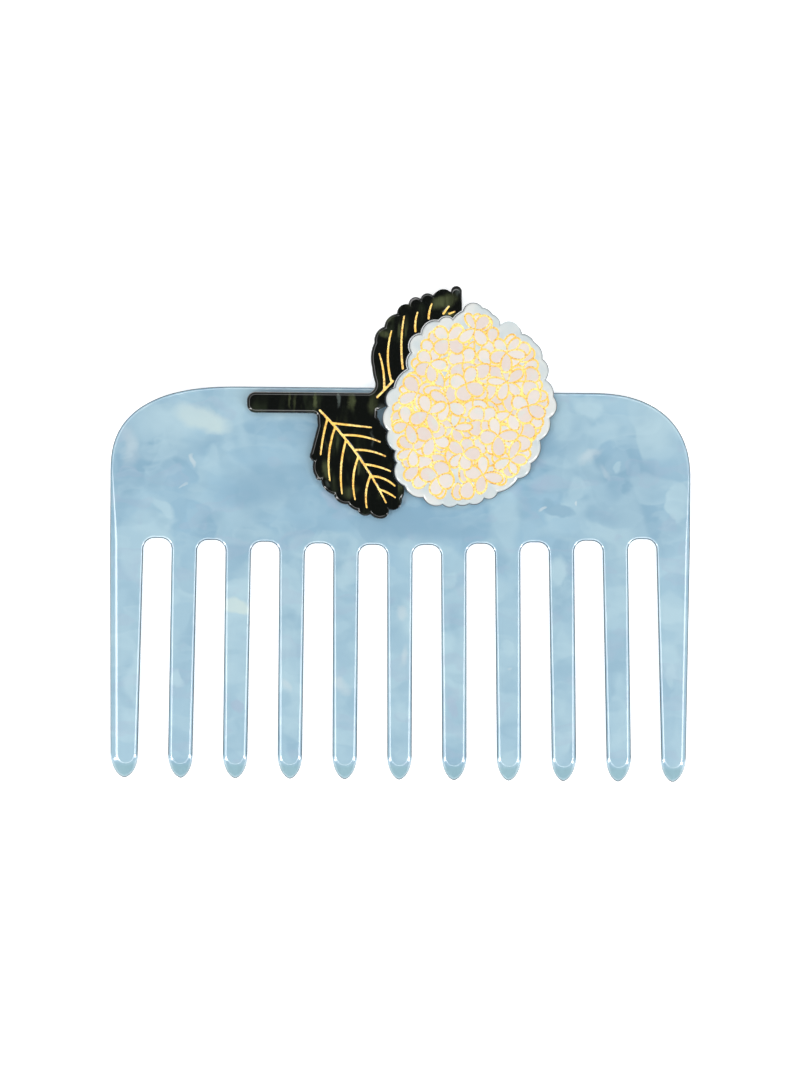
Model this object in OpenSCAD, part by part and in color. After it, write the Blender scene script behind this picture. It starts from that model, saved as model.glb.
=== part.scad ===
// Wide-tooth pocket comb that lies on its back, with a flower and a leaf spray on its front face.
// Millimetres. +Z points out of the decorated face and +Y from the tooth tips to the spine.
// The origin is on the back face, in the middle of the whole outline.

/* [Comb] */
// Width across the outer teeth
comb_width = 102; // [96:1:110]
// Height from the tooth tips to the top edge of the spine
comb_height = 68.4; // [64:0.2:74]
// Thickness of the comb
comb_thick = 4; // [3.6:0.1:5]
// Height of the spine above the middle slots
spine_height = 27.1; // [26:0.1:30]
// How much further the end slots reach up than the middle ones
root_bow = 1.2; // [0:0.1:2]
// How much further the rightmost slot reaches up than the leftmost
root_tilt = 0.55; // [0:0.05:1]
// Width of a rounded upper corner
corner_width = 19; // [12:1:24]
// Height of a rounded upper corner
corner_height = 15.8; // [10:0.2:18]
// Squareness of the upper corners, where 2 is an ellipse
corner_power = 2.4; // [2:0.1:3]
// How far each outer side leans in by the tooth tips
side_lean = 0.4; // [0:0.1:0.8]
// Edge rounding along the spine and the outer sides
outer_round = 1.6; // [0.8:0.1:1.7]

/* [Teeth] */
// Number of teeth
tooth_count = 11; // [8:1:12]
// Width of an outer tooth at its root
outer_tooth_root = 5.9; // [5:0.1:7]
// Width of an outer tooth near its tip
outer_tooth_tip = 4.8; // [4.4:0.1:6]
// Width of a slot at its root
slot_root_width = 5; // [4.6:0.1:5.2]
// Width of a slot near the tooth tips
slot_tip_width = 5.35; // [4.8:0.05:5.6]
// Radius of a slot's root corners
slot_corner = 1.9; // [1:0.1:2.2]
// Edge rounding between the teeth
slot_round = 0.75; // [0.4:0.05:0.9]
// Length of a tooth's tapered end
tip_length = 4.3; // [3:0.1:6]
// Edge rounding at the very tip of a tooth, through the thickness
tip_round = 1.5; // [0.8:0.1:1.7]
// Length of the slope that runs out to the very tip of a tooth
tip_slope = 2.9; // [1.5:0.1:2.9]

/* [Ornament] */
// Distance of the flower's centre to the right of the comb's middle
flower_right = 12.1; // [0:0.1:16]
// Distance of the flower's centre below the top edge of the comb
flower_drop = 2.4; // [1:0.1:4]
// Thickness of the flower
flower_thick = 2.6; // [2:0.1:3]
// Thickness of the leaf spray
leaf_thick = 2.4; // [2:0.1:3]
// Edge rounding of the flower and the leaf spray
ornament_round = 0.45; // [0.2:0.05:0.5]
// Gap between the flower and the leaf spray
ornament_gap = 0.15; // [0.1:0.05:0.2]
// Thickness of the glue film behind the flower and the leaf spray
glue_film = 0.1; // [0.05:0.05:0.2]

/* [Gilding] */
// Width of an engraved leaf vein
vein_width = 0.45; // [0.35:0.05:0.6]
// Width of an engraved floret line
floret_line = 0.4; // [0.3:0.05:0.5]
// Depth of the engraving
engraving_depth = 0.3; // [0.2:0.05:0.5]
// Gap between the gilding and the walls of its groove
gilding_gap = 0.03; // [0.02:0.01:0.05]
// Distance of the outer florets' middles from the flower's rim
floret_rim = 3.8; // [3.6:0.1:4.6]
// Plain width of the flower outside its petals
plain_rim = 1.3; // [1.2:0.1:2]
// Half the length of a petal
petal_half_length = 1.35; // [1.1:0.05:1.4]
// Half the width of a petal
petal_half_width = 1.05; // [0.8:0.05:1.1]

/* [Hidden] */

// Columns of the scallop table, one row for each cusp of the flower, anticlockwise
CUSP_ANGLE = 0;
CUSP_RADIUS = 1;
CUSP_BULGE = 2;
// cusp angle, cusp radius, bulge of the scallop that follows
SCALLOPS = [
    [6, 14.7, 0.5],
    [19, 13.9, 0.8],
    [33, 15, 0.5],
    [45, 15.7, 0.35],
    [54.5, 15.4, 1.15],
    [70, 15, 0.35],
    [76.5, 16.3, 0.25],
    [83.5, 17.2, 1.15],
    [95, 16.5, 0.15],
    [102, 15.3, 0.6],
    [111, 15.7, 0.9],
    [125, 15.1, 1.15],
    [139, 13.8, 0.5],
    [150.5, 12.5, 0.5],
    [167.5, 13.6, 0.9],
    [181.5, 14.5, 0.95],
    [198, 15.1, 0.8],
    [212, 15.4, 0.35],
    [218.5, 16.4, 1.05],
    [231.5, 18.3, 0.7],
    [243.5, 18.2, 0.8],
    [255, 18.1, 0.5],
    [263, 17.6, 0.3],
    [270, 17.3, 0.6],
    [279, 16.5, 0.6],
    [288, 16.1, 0.5],
    [303.5, 15.4, 0.8],
    [316.5, 14.8, 0.8],
    [333.5, 13.7, 0.8],
    [351, 14.1, 0.9]
];
// Cusps of the flower that the leaf spray lies against
TOP_CUSP = 8;
POCKET_TOP_CUSP = 15;
POCKET_FOOT_CUSP = 16;
FOOT_CUSP = 19;

// Columns of the outline tables, measured from the flower's centre, anticlockwise
EDGE_X = 0;
EDGE_Y = 1;
EDGE_BULGE = 2;
// x, y, bulge of the edge that follows
UPPER_LEAF_EDGE = [
    [-1.6, 19.9, 0.95],
    [-3.6, 19.8, 0.65],
    [-6.7, 19.2, 0.6],
    [-8.9, 18.6, 0.65],
    [-11, 17.6, 0.6],
    [-13, 15.9, 0.55],
    [-15.2, 13.6, 0.6],
    [-16.9, 10.8, 0.4],
    [-17.3, 6.5, 0.1],
    [-16.7, 3.7, -0.35]
];
STEM_EDGE = [
    [-17.7, 2, 0],
    [-37.6, 2, 0.44],
    [-39.1, 0.5, 0],
    [-39.1, -0.2, 0.44],
    [-37.6, -1.7, 0],
    [-27.6, -1.7, -0.3]
];
LOWER_LEAF_EDGE = [
    [-26.8, -2.6, 0],
    [-26.7, -3.9, 0],
    [-27.9, -8.6, 0.35],
    [-27.4, -10.1, 0.3],
    [-27, -12.8, 0.3],
    [-26, -13.4, 0.55],
    [-23.8, -15.9, 0.55],
    [-21.3, -17.6, 0.2],
    [-19.6, -18.7, 0.55],
    [-17.3, -19.3, 0.35],
    [-15, -20, 0.3],
    [-14, -18.5, 0.8],
    [-11.8, -16.6, 0.25]
];
POCKET_EDGE = [
    [-15.6, -3.6, 0.1],
    [-16.25, -2.2, 0],
    [-16.2, -1.05, 0]
];

// Columns of the vein table, measured from the flower's centre
VEIN_START = [0, 1];
VEIN_END = [2, 3];
VEIN_BULGE = 4;
// start x, start y, end x, end y, bulge to the right of the way from start to end
VEINS = [
    [-16.3, 1.2, -11.75, 5.95, 0],
    [-15.1, 2.5, -16, 8.8, 0.3],
    [-13.8, 3.85, -13.9, 12.8, -0.65],
    [-11.8, 5.9, -11.7, 15.4, -0.4],
    [-9.7, 12.8, -9.35, 16.1, -0.2],
    [-7.4, 14.8, -6.9, 17.6, -0.15],
    [-5.3, 15.3, -3.9, 17.2, 0],
    [-5, 15.7, -2.9, 16.3, 0.1],
    [-26.3, -1.2, -14.6, -17.2, -0.8],
    [-24.95, -2.55, -26.1, -8.9, 0.15],
    [-23.6, -4.1, -24.45, -13.4, 0.6],
    [-21.7, -6.4, -22.3, -15.7, 0.5],
    [-19.5, -9.3, -20, -16.7, 0.6],
    [-17.3, -12.4, -17.95, -18.1, 0.45],
    [-24.1, -3.4, -17.3, -4.1, 0],
    [-22.3, -5.5, -15.75, -6.6, -0.4],
    [-20.25, -8.05, -14.8, -9.1, -0.35],
    [-18.45, -10.55, -13.9, -11.7, -0.2],
    [-17.2, -12.6, -13.1, -14.25, -0.4],
    [-15.9, -14.9, -13, -16.3, -0.15]
];

// Fineness of curves
ROUND_STEPS = 3;
TIP_STEPS = 5;
ROOT_STEPS = 4;
CORNER_STEPS = 12;
ARC_STEP_ANGLE = 22;
VEIN_STEPS = 4;
HAIRLINE = 0.02;
TIP_POWER = 1.5;
BOW_POWER = 1.2;

// Florets on the flower
RING_REACH = 0;
RING_COUNT = 1;
// share of the way to the outer florets, number of florets
FLORET_RINGS = [
    [1, 15],
    [0.67, 10],
    [0.36, 6],
    [0.08, 1]
];
RIM_PETALS = 28;
PETAL_COUNTS = [4, 5, 4];
WIDE_PETAL_TURN = 84;
// step through the florets as they overlap, which shares no factor with their number
FLORET_SHUFFLE = 11;
PETAL_SIDES = 10;

// Unevenness of the florets
WOBBLE_ANGLE = [97, 131];
ANGLE_WOBBLE = 0.15;
PLACE_WOBBLE = 0.4;
SIZE_WOBBLE = 0.08;
RIM_TURN_WOBBLE = 15;
FLORET_TURN_WOBBLE = 75;
PETAL_TURN_WOBBLE = 7;

// Places that follow from the sizes
leaf_rise = max([for (p = outline_points(leaf_rows(), leaf_rows())) p[1]]) - flower_drop;
tip_y = -(comb_height + leaf_rise) / 2;
top_y = tip_y + comb_height;
flower_centre = [flower_right, top_y - flower_drop];
ornament_z = comb_thick + glue_film;
slot_count = tooth_count - 1;
root_y = top_y - spine_height;
taper_y = tip_y + tip_length;
half_width = comb_width / 2;
root_pitch = (comb_width - 2 * outer_tooth_root - slot_root_width) / (slot_count - 1);
tip_span = comb_width - 2 * side_lean - 2 * outer_tooth_tip - slot_tip_width;
tip_pitch = tip_span / (slot_count - 1);

// Plane vectors
function left_of(v) = [-v[1], v[0]];
function turned(v, angle) = [v[0] * cos(angle) - v[1] * sin(angle), v[0] * sin(angle) + v[1] * cos(angle)];
function cross_z(a, b) = a[0] * b[1] - a[1] * b[0];
function plane(row) = [row[0], row[1]];

// Arcs, where a positive bulge stands out to the right of the way from a to b
function half_turn(a, b, bulge) = 2 * atan(2 * bulge / norm(b - a));
function start_heading(a, b, bulge) = turned((b - a) / norm(b - a), -half_turn(a, b, bulge));
function end_heading(a, b, bulge) = turned((b - a) / norm(b - a), half_turn(a, b, bulge));
function arc_point(a, b, bulge, part) =
    bulge == 0 ? a + part * (b - a) :
    let (
        half = half_turn(a, b, bulge),
        radius = norm(b - a) / (2 * sin(half))
    )
    a + 2 * radius * sin(half * part) * turned(start_heading(a, b, bulge), half * part);
function arc_steps(a, b, bulge) = max(1, round(abs(2 * half_turn(a, b, bulge)) / ARC_STEP_ANGLE));

// Closed outlines of rows [x, y, bulge], anticlockwise
function next_row(rows, i) = rows[(i + 1) % len(rows)];
function row_before(rows, i) = rows[(i + len(rows) - 1) % len(rows)];
function inset_corner(rows, i, depth) =
    let (
        here = plane(rows[i]),
        before = row_before(rows, i),
        arriving = left_of(end_heading(plane(before), here, before[EDGE_BULGE])),
        leaving = left_of(start_heading(here, plane(next_row(rows, i)), rows[i][EDGE_BULGE]))
    )
    here + depth * (arriving + leaving) / (1 + arriving * leaving);
function inset_bulge(chord, new_chord, bulge, depth) =
    bulge == 0 ? 0 :
    let (
        side = sign(bulge),
        radius = (chord * chord / 4 + bulge * bulge) / (2 * abs(bulge)) - side * depth,
        reach = min(new_chord / 2, radius)
    )
    side * (radius - sqrt(radius * radius - reach * reach));
function inset_rows(rows, depth) =
    let (corners = [for (i = [0:len(rows) - 1]) inset_corner(rows, i, depth)])
    [
        for (i = [0:len(rows) - 1])
            let (
                chord = norm(plane(next_row(rows, i)) - plane(rows[i])),
                new_chord = norm(next_row(corners, i) - corners[i]),
                bulge = inset_bulge(chord, new_chord, rows[i][EDGE_BULGE], depth)
            )
            [corners[i][0], corners[i][1], bulge]
    ];
function outline_points(rows, like) = [
    for (i = [0:len(rows) - 1])
        let (
            a = plane(rows[i]),
            b = plane(next_row(rows, i)),
            steps = arc_steps(plane(like[i]), plane(next_row(like, i)), like[i][EDGE_BULGE])
        )
        for (k = [0:steps - 1]) arc_point(a, b, rows[i][EDGE_BULGE], k / steps)
];

// Outlines of the flower and of the leaf spray
function scallop_rows() = [
    for (row = SCALLOPS)
        [row[CUSP_RADIUS] * cos(row[CUSP_ANGLE]), row[CUSP_RADIUS] * sin(row[CUSP_ANGLE]), row[CUSP_BULGE]]
];
function against_flower(first, last) =
    let (rows = inset_rows(scallop_rows(), -ornament_gap))
    [
        for (i = [first:-1:last])
            [rows[i][EDGE_X], rows[i][EDGE_Y], i == last ? 0 : -rows[i - 1][EDGE_BULGE]]
    ];
function leaf_rows() = concat(
    UPPER_LEAF_EDGE,
    STEM_EDGE,
    LOWER_LEAF_EDGE,
    against_flower(FOOT_CUSP, POCKET_FOOT_CUSP),
    POCKET_EDGE,
    against_flower(POCKET_TOP_CUSP, TOP_CUSP)
);

// Triangles that fill a plane outline, found by cutting off its ears one at a time
function inside_triangle(p, a, b, c) =
    cross_z(b - a, p - a) > 0 && cross_z(c - b, p - b) > 0 && cross_z(a - c, p - c) > 0;
function is_ear(points, loop) =
    let (
        n = len(loop),
        a = points[loop[n - 1]],
        b = points[loop[0]],
        c = points[loop[1]]
    )
    cross_z(b - a, c - b) > 0
    && len([for (i = [2:1:n - 2]) if (inside_triangle(points[loop[i]], a, b, c)) i]) == 0;
function without_first(loop) = [for (i = [1:len(loop) - 1]) loop[i]];
function ears(points, loop, found = []) =
    len(loop) < 3 ? found :
    is_ear(points, loop)
        ? ears(points, without_first(loop), concat(found, [[loop[len(loop) - 1], loop[0], loop[1]]]))
        : ears(points, concat(without_first(loop), [loop[0]]), found);
function fill(ring) = ears([for (p = ring) plane(p)], [for (i = [0:len(ring) - 1]) i]);

// Solid between a pile of rings that have the same number of points
module ring_solid(rings) {
    n = len(rings[0]);
    last = len(rings) - 1;
    walls = [
        for (level = [0:last - 1])
            for (i = [0:n - 1])
                let (
                    low = level * n,
                    high = low + n,
                    next = (i + 1) % n
                )
                for (face = [[low + i, high + i, high + next], [low + i, high + next, low + next]]) face
    ];
    lid = [for (t = fill(rings[last])) [t[2] + last * n, t[1] + last * n, t[0] + last * n]];
    polyhedron(points = [for (ring = rings) each ring], faces = concat(fill(rings[0]), walls, lid));
}

// Flat-backed plate whose front edge is rounded
module rounded_plate(rows, thick) {
    back = outline_points(rows, rows);
    front = [
        for (step = [0:ROUND_STEPS])
            let (
                angle = 90 * step / ROUND_STEPS,
                level = thick - ornament_round * (1 - sin(angle)),
                ring = outline_points(inset_rows(rows, ornament_round * (1 - cos(angle))), rows)
            )
            [for (p = ring) [p[0], p[1], level]]
    ];
    ring_solid(concat([[for (p = back) [p[0], p[1], 0]]], front));
}

// Comb outline, drawn in by a share of each point's own edge rounding, as rows [x, y, rounding]
function down_part(y) = (root_y - y) / (root_y - taper_y);
function slot_number(i) = i - (slot_count - 1) / 2;
function slot_x(i, y) = slot_number(i) * (root_pitch + (tip_pitch - root_pitch) * down_part(y));
function slot_half(y) = (slot_root_width + (slot_tip_width - slot_root_width) * down_part(y)) / 2;
function slot_top(i) =
    let (share = slot_number(i) / slot_number(slot_count - 1))
    root_y + root_bow * pow(abs(share), BOW_POWER) + root_tilt * share / 2;
function side_x(y) = half_width - side_lean * max(0, down_part(y));
function slot_root(i, share) =
    let (
        y = slot_top(i) - slot_corner,
        reach = slot_half(y) - slot_corner,
        radius = slot_corner + share * slot_round
    )
    [
        for (side = [-1, 1])
            for (k = [0:ROOT_STEPS])
                let (angle = side < 0 ? 180 - 90 * k / ROOT_STEPS : 90 - 90 * k / ROOT_STEPS)
                [slot_x(i, y) + side * reach + radius * cos(angle), y + radius * sin(angle), slot_round]
    ];
function tooth_tip(i, share) =
    let (
        first = i == 0,
        final = i == tooth_count - 1,
        left_round = first ? outer_round : slot_round,
        right_round = final ? outer_round : slot_round,
        left = first ? -side_x(taper_y) : slot_x(i - 1, taper_y) + slot_half(taper_y),
        right = final ? side_x(taper_y) : slot_x(i, taper_y) - slot_half(taper_y),
        middle = (left + right + share * (left_round - right_round)) / 2,
        half = (right - left - share * (left_round + right_round)) / 2,
        reach = tip_length - share * tip_slope
    )
    [
        for (k = [-TIP_STEPS:TIP_STEPS])
            let (
                angle = 90 - 90 * abs(k) / TIP_STEPS,
                side_round = k < 0 ? left_round : right_round
            )
            [
                middle + sign(k) * half * pow(cos(angle), TIP_POWER),
                taper_y - reach * sin(angle),
                side_round + (tip_round - side_round) * sin(angle)
            ]
    ];
function upper_corner(side, share) = [
    for (k = [0:CORNER_STEPS])
        let (
            angle = 90 * (side > 0 ? k : CORNER_STEPS - k) / CORNER_STEPS,
            wide = corner_width - share * outer_round,
            high = corner_height - share * outer_round
        )
        [
            side * (half_width - corner_width + wide * pow(cos(angle), 2 / corner_power)),
            top_y - corner_height + high * pow(sin(angle), 2 / corner_power),
            outer_round
        ]
];
function comb_outline(share) = concat(
    [for (i = [0:slot_count - 1]) each concat(tooth_tip(i, share), slot_root(i, share))],
    tooth_tip(tooth_count - 1, share),
    [[side_x(root_y) - share * outer_round, root_y, outer_round]],
    upper_corner(1, share),
    upper_corner(-1, share),
    [[-side_x(root_y) + share * outer_round, root_y, outer_round]]
);

module comb_plate() {
    back = [
        for (step = [ROUND_STEPS:-1:0])
            let (angle = 90 * step / ROUND_STEPS)
            [for (p = comb_outline(1 - cos(angle))) [p[0], p[1], p[2] * (1 - sin(angle))]]
    ];
    front = [
        for (step = [0:ROUND_STEPS])
            let (angle = 90 * step / ROUND_STEPS)
            [for (p = comb_outline(1 - cos(angle))) [p[0], p[1], comb_thick - p[2] * (1 - sin(angle))]]
    ];
    color("#a3c6d8") ring_solid(concat(back, front));
}

// Leaf veins, each a hairline along its arc that is widened to the asked width
module vein(row) {
    a = [for (i = VEIN_START) row[i]];
    b = [for (i = VEIN_END) row[i]];
    line = [for (k = [0:VEIN_STEPS]) arc_point(a, b, row[VEIN_BULGE], k / VEIN_STEPS)];
    aside = left_of(b - a) / norm(b - a) * HAIRLINE / 2;
    polygon(concat([for (p = line) p + aside], [for (k = [VEIN_STEPS:-1:0]) line[k] - aside]));
}
module vein_lines(width) {
    offset(r = (width - HAIRLINE) / 2, $fn = 12) for (row = VEINS) vein(row);
}

module leaf_spray() {
    color("#1c241d") translate([flower_centre[0], flower_centre[1], ornament_z]) difference() {
        rounded_plate(leaf_rows(), leaf_thick);
        translate([0, 0, leaf_thick - engraving_depth]) linear_extrude(1) vein_lines(vein_width);
    }
}

module leaf_veins() {
    floor_z = leaf_thick - engraving_depth + gilding_gap;
    color("#d9ab52") translate([flower_centre[0], flower_centre[1], ornament_z + floor_z])
        linear_extrude(engraving_depth - 2 * gilding_gap) vein_lines(vein_width - 2 * gilding_gap);
}

// Florets, in rings that follow the flower's own outline
function wobble(i, k) = sin(i * WOBBLE_ANGLE[0] + k * WOBBLE_ANGLE[1]);
function rim_radius(angle) =
    lookup((angle + 720) % 360, concat(
        [[SCALLOPS[len(SCALLOPS) - 1][CUSP_ANGLE] - 360, SCALLOPS[len(SCALLOPS) - 1][CUSP_RADIUS]]],
        [for (row = SCALLOPS) [row[CUSP_ANGLE], row[CUSP_RADIUS]]],
        [[SCALLOPS[0][CUSP_ANGLE] + 360, SCALLOPS[0][CUSP_RADIUS]]]
    ));
function floret_places() = [
    for (row = FLORET_RINGS)
        for (k = [0:row[RING_COUNT] - 1])
            let (
                step = 360 / row[RING_COUNT],
                angle = step * (k + row[RING_REACH] + ANGLE_WOBBLE * wobble(k, row[RING_COUNT])),
                reach = row[RING_REACH] * (rim_radius(angle) - floret_rim)
            )
            (reach + PLACE_WOBBLE * wobble(k + 3, row[RING_COUNT])) * [cos(angle), sin(angle)]
];
function petal_count(i) = PETAL_COUNTS[i % len(PETAL_COUNTS)];
function petal_size(half, i, k) = half * (1 + SIZE_WOBBLE * (wobble(i, 2) + wobble(k, i)));
// Petals as rows [centre, heading, half length, half width], those in front last
function petal_row(foot, heading, long, wide) =
    [foot + long * [cos(heading), sin(heading)], heading, long, wide];
function rim_petals() = [
    for (k = [0:RIM_PETALS - 1])
        let (
            angle = 360 * (k + ANGLE_WOBBLE * wobble(k, 9)) / RIM_PETALS,
            heading = angle + RIM_TURN_WOBBLE * wobble(k, 1),
            long = petal_size(petal_half_length, k, 4),
            wide = petal_size(petal_half_width, k, 7),
            reach = rim_radius(angle) - plain_rim - 2 * long
        )
        petal_row(reach * [cos(angle), sin(angle)], heading, long, wide)
];
function floret_petals() =
    let (
        places = floret_places(),
        count = len(places)
    )
    [
        for (rank = [0:count - 1])
            let (
                i = (rank * FLORET_SHUFFLE) % count,
                turn = 360 / petal_count(i),
                first_heading = FLORET_TURN_WOBBLE * wobble(i, 3)
            )
            for (k = [0:petal_count(i) - 1])
                let (
                    heading = first_heading + turn * k + PETAL_TURN_WOBBLE * wobble(i, k + 4),
                    long = petal_size(petal_half_length, i, k),
                    wide = petal_size(petal_half_width, i, k + 5) * turn / WIDE_PETAL_TURN
                )
                petal_row(places[i], heading, long, wide)
    ];
module petal(row, grow) {
    translate(row[0]) rotate(row[1]) scale([row[2] + grow, row[3] + grow]) circle(r = 1, $fn = PETAL_SIDES);
}
module floret_pattern(width) {
    rows = concat(rim_petals(), floret_petals());
    offset(delta = HAIRLINE / 2) for (i = [0:len(rows) - 1]) difference() {
        petal(rows[i], width / 2);
        petal(rows[i], -width / 2);
        for (j = [i + 1:1:len(rows) - 1])
            if (norm(rows[j][0] - rows[i][0]) < rows[i][2] + rows[j][2] + width) petal(rows[j], -width / 2);
    }
}

module flower_head() {
    color("#e6e7e6") translate([flower_centre[0], flower_centre[1], ornament_z]) difference() {
        rounded_plate(scallop_rows(), flower_thick);
        translate([0, 0, flower_thick - engraving_depth]) linear_extrude(1) floret_pattern(floret_line);
    }
}

module floret_lines() {
    floor_z = flower_thick - engraving_depth + gilding_gap;
    color("#e8b765") translate([flower_centre[0], flower_centre[1], ornament_z + floor_z])
        linear_extrude(engraving_depth - 2 * gilding_gap) floret_pattern(floret_line - 2 * gilding_gap);
}

comb_plate();
leaf_spray();
flower_head();
leaf_veins();
floret_lines();
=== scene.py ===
"""Wide-tooth pocket comb of marbled acetate, with a gilt flower and leaf spray.

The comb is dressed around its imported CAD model. Sizes are in millimetres until a mesh is placed, and the
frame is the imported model's own: +Z points out of the decorated face and +Y from the tooth tips to the spine.
"""

from __future__ import annotations

import logging
import math
from dataclasses import dataclass, field
from enum import Enum
from typing import Callable, ClassVar, Iterable, Sequence, Union

import bpy
import numpy as np
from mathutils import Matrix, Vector, geometry


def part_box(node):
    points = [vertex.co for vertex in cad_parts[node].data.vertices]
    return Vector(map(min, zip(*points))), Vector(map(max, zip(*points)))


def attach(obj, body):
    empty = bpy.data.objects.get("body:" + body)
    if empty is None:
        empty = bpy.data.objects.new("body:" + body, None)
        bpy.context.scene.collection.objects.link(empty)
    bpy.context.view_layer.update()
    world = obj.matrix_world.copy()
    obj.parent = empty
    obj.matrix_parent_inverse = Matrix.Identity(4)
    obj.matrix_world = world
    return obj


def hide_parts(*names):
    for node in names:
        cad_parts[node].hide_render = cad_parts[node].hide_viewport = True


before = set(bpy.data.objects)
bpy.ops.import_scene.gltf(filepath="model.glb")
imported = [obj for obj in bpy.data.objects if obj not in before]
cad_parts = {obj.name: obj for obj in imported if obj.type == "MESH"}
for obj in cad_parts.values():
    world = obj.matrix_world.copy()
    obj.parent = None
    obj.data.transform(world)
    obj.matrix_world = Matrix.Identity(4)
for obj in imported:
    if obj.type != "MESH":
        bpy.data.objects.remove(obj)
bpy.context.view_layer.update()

MM = 0.001
# Distance that a point gets where it lies away from the brink of the front face, so that it takes none of the
# painted shade line.
FAR = 9.0
# Strength of the larger faces where a piece is shaded smooth.
SHADING_WEIGHT = 50
log = logging.getLogger("comb")

Span = tuple[float, float]
Triple = tuple[float, float, float]
Colour = tuple[float, float, float]


class Slot(Enum):
    """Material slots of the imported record."""

    BLUE_ACETATE = "blue_acetate"
    GREEN_ACETATE = "green_acetate"
    PEARL_ACETATE = "pearl_acetate"
    GILDING = "gilding"


class Part(Enum):
    """Parts of a mesh that edit mode selects."""

    POINT = "VERT"
    EDGE = "EDGE"
    FACE = "FACE"


def paint(red: int, green: int, blue: int) -> Colour:
    """Turns a colour as it is seen on a screen into the linear colour that a shader takes.

    Args:
        red: red from 0 to 255.
        green: green from 0 to 255.
        blue: blue from 0 to 255.

    Returns:
        The linear colour.
    """

    def linear(value: int) -> float:
        """Undoes the screen's curve for one channel."""
        share = value / 255
        return share / 12.92 if share <= 0.04045 else ((share + 0.055) / 1.055) ** 2.4

    return linear(red), linear(green), linear(blue)


@dataclass(frozen=True)
class Cloud:
    """Fractal noise through a sheet, in millimetres."""

    size: float
    detail: float = 2
    roughness: float = 0.5
    shift: Triple = (0, 0, 0)
    stretch: Triple = (1, 1, 1)
    pushes: tuple[Span, ...] = ()


@dataclass(frozen=True)
class Layer:
    """Placing and strength of one patterned layer of a sheet, in millimetres and degrees."""

    size: float
    tone: Colour
    weight: float
    shift: Triple
    turn: float


@dataclass(frozen=True)
class Patchwork(Layer):
    """Layer of cells with soft borders."""

    soft: float = 0.5


@dataclass(frozen=True)
class Veil(Layer):
    """Layer of clouds with a fairly crisp border, which fade away inwards."""

    level: float = 0.5
    crisp: float = 0.1
    depth: float = 0.3


@dataclass(frozen=True)
class Chip:
    """One oval chip in a sheet, in millimetres, which may fade away towards its foot."""

    x: float
    y: float
    long: float
    wide: float
    turn: float
    weight: float
    soft: float = 0.8
    lean: float = 0.0
    FLAT: ClassVar[float] = 1000.0


class Value:
    """A number socket that adds its own Math nodes when it stands in a Python expression."""

    def __init__(self, nodes: Nodes, socket: bpy.types.NodeSocket) -> None:
        """Keeps the socket and what adds nodes for it."""
        self.nodes = nodes
        self.socket = socket

    def _math(self, operation: str, first: Number, second: Number) -> Value:
        """Adds one Math node and returns its result."""
        return self.nodes.value("ShaderNodeMath", 0, {0: first, 1: second}, operation=operation)

    def __add__(self, other: Number) -> Value:
        """Sum."""
        return self._math("ADD", self, other)

    def __sub__(self, other: Number) -> Value:
        """Difference."""
        return self._math("SUBTRACT", self, other)

    def __rsub__(self, other: Number) -> Value:
        """Difference the other way round."""
        return self._math("SUBTRACT", other, self)

    def __mul__(self, other: Number) -> Value:
        """Product."""
        return self._math("MULTIPLY", self, other)

    __radd__ = __add__
    __rmul__ = __mul__

    def most(self, other: Number) -> Value:
        """The greater of two numbers."""
        return self._math("MAXIMUM", self, other)

    def fade(self, low: float, high: float) -> Value:
        """Rises smoothly from nought at low to one at high.

        Args:
            low: value that gives nought.
            high: value that gives one, which may be the smaller of the two.

        Returns:
            The smoothed share.
        """
        if low > high:
            return 1 - self.fade(high, low)
        inputs = {"Value": self, "From Min": low, "From Max": high}
        settings = {"interpolation_type": "SMOOTHSTEP", "clamp": True}
        return self.nodes.value("ShaderNodeMapRange", "Result", inputs, **settings)


Number = Union[Value, float, int]
Paint = Union[Colour, bpy.types.NodeSocket]


class Nodes:
    """Adds nodes to one tree."""

    def __init__(self, tree: bpy.types.NodeTree) -> None:
        """Keeps the tree."""
        self.tree = tree

    def node(self, kind: str, inputs: dict | None = None, **settings: object) -> bpy.types.Node:
        """Adds a node, sets it, then fills or links its sockets.

        Args:
            kind: the node's type.
            inputs: socket name or number against a value, a colour or something to link.
            settings: attributes of the node, set first.

        Returns:
            The node.
        """
        made = self.tree.nodes.new(kind)
        for name, setting in settings.items():
            setattr(made, name, setting)
        for name, given in (inputs or {}).items():
            self.feed(made.inputs[name], given)
        return made

    def value(self, kind: str, output: str | int, inputs: dict, **settings: object) -> Value:
        """Adds a node and gives one of its outputs as a number."""
        return Value(self, self.node(kind, inputs, **settings).outputs[output])

    def vector(self, operation: str, inputs: dict) -> bpy.types.NodeSocket:
        """Adds one Vector Math node and gives its vector."""
        return self.node("ShaderNodeVectorMath", inputs, operation=operation).outputs["Vector"]

    def feed(self, socket: bpy.types.NodeSocket, given: object) -> None:
        """Links a socket to what is given, or sets it.

        Args:
            socket: the socket.
            given: a number, a colour, a vector or something to link.
        """
        if isinstance(given, Value):
            given = given.socket
        if isinstance(given, bpy.types.NodeSocket):
            self.tree.links.new(given, socket)
        elif isinstance(given, tuple) and len(given) == 3 and socket.type == "RGBA":
            socket.default_value = (*given, 1.0)
        else:
            socket.default_value = given


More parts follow.
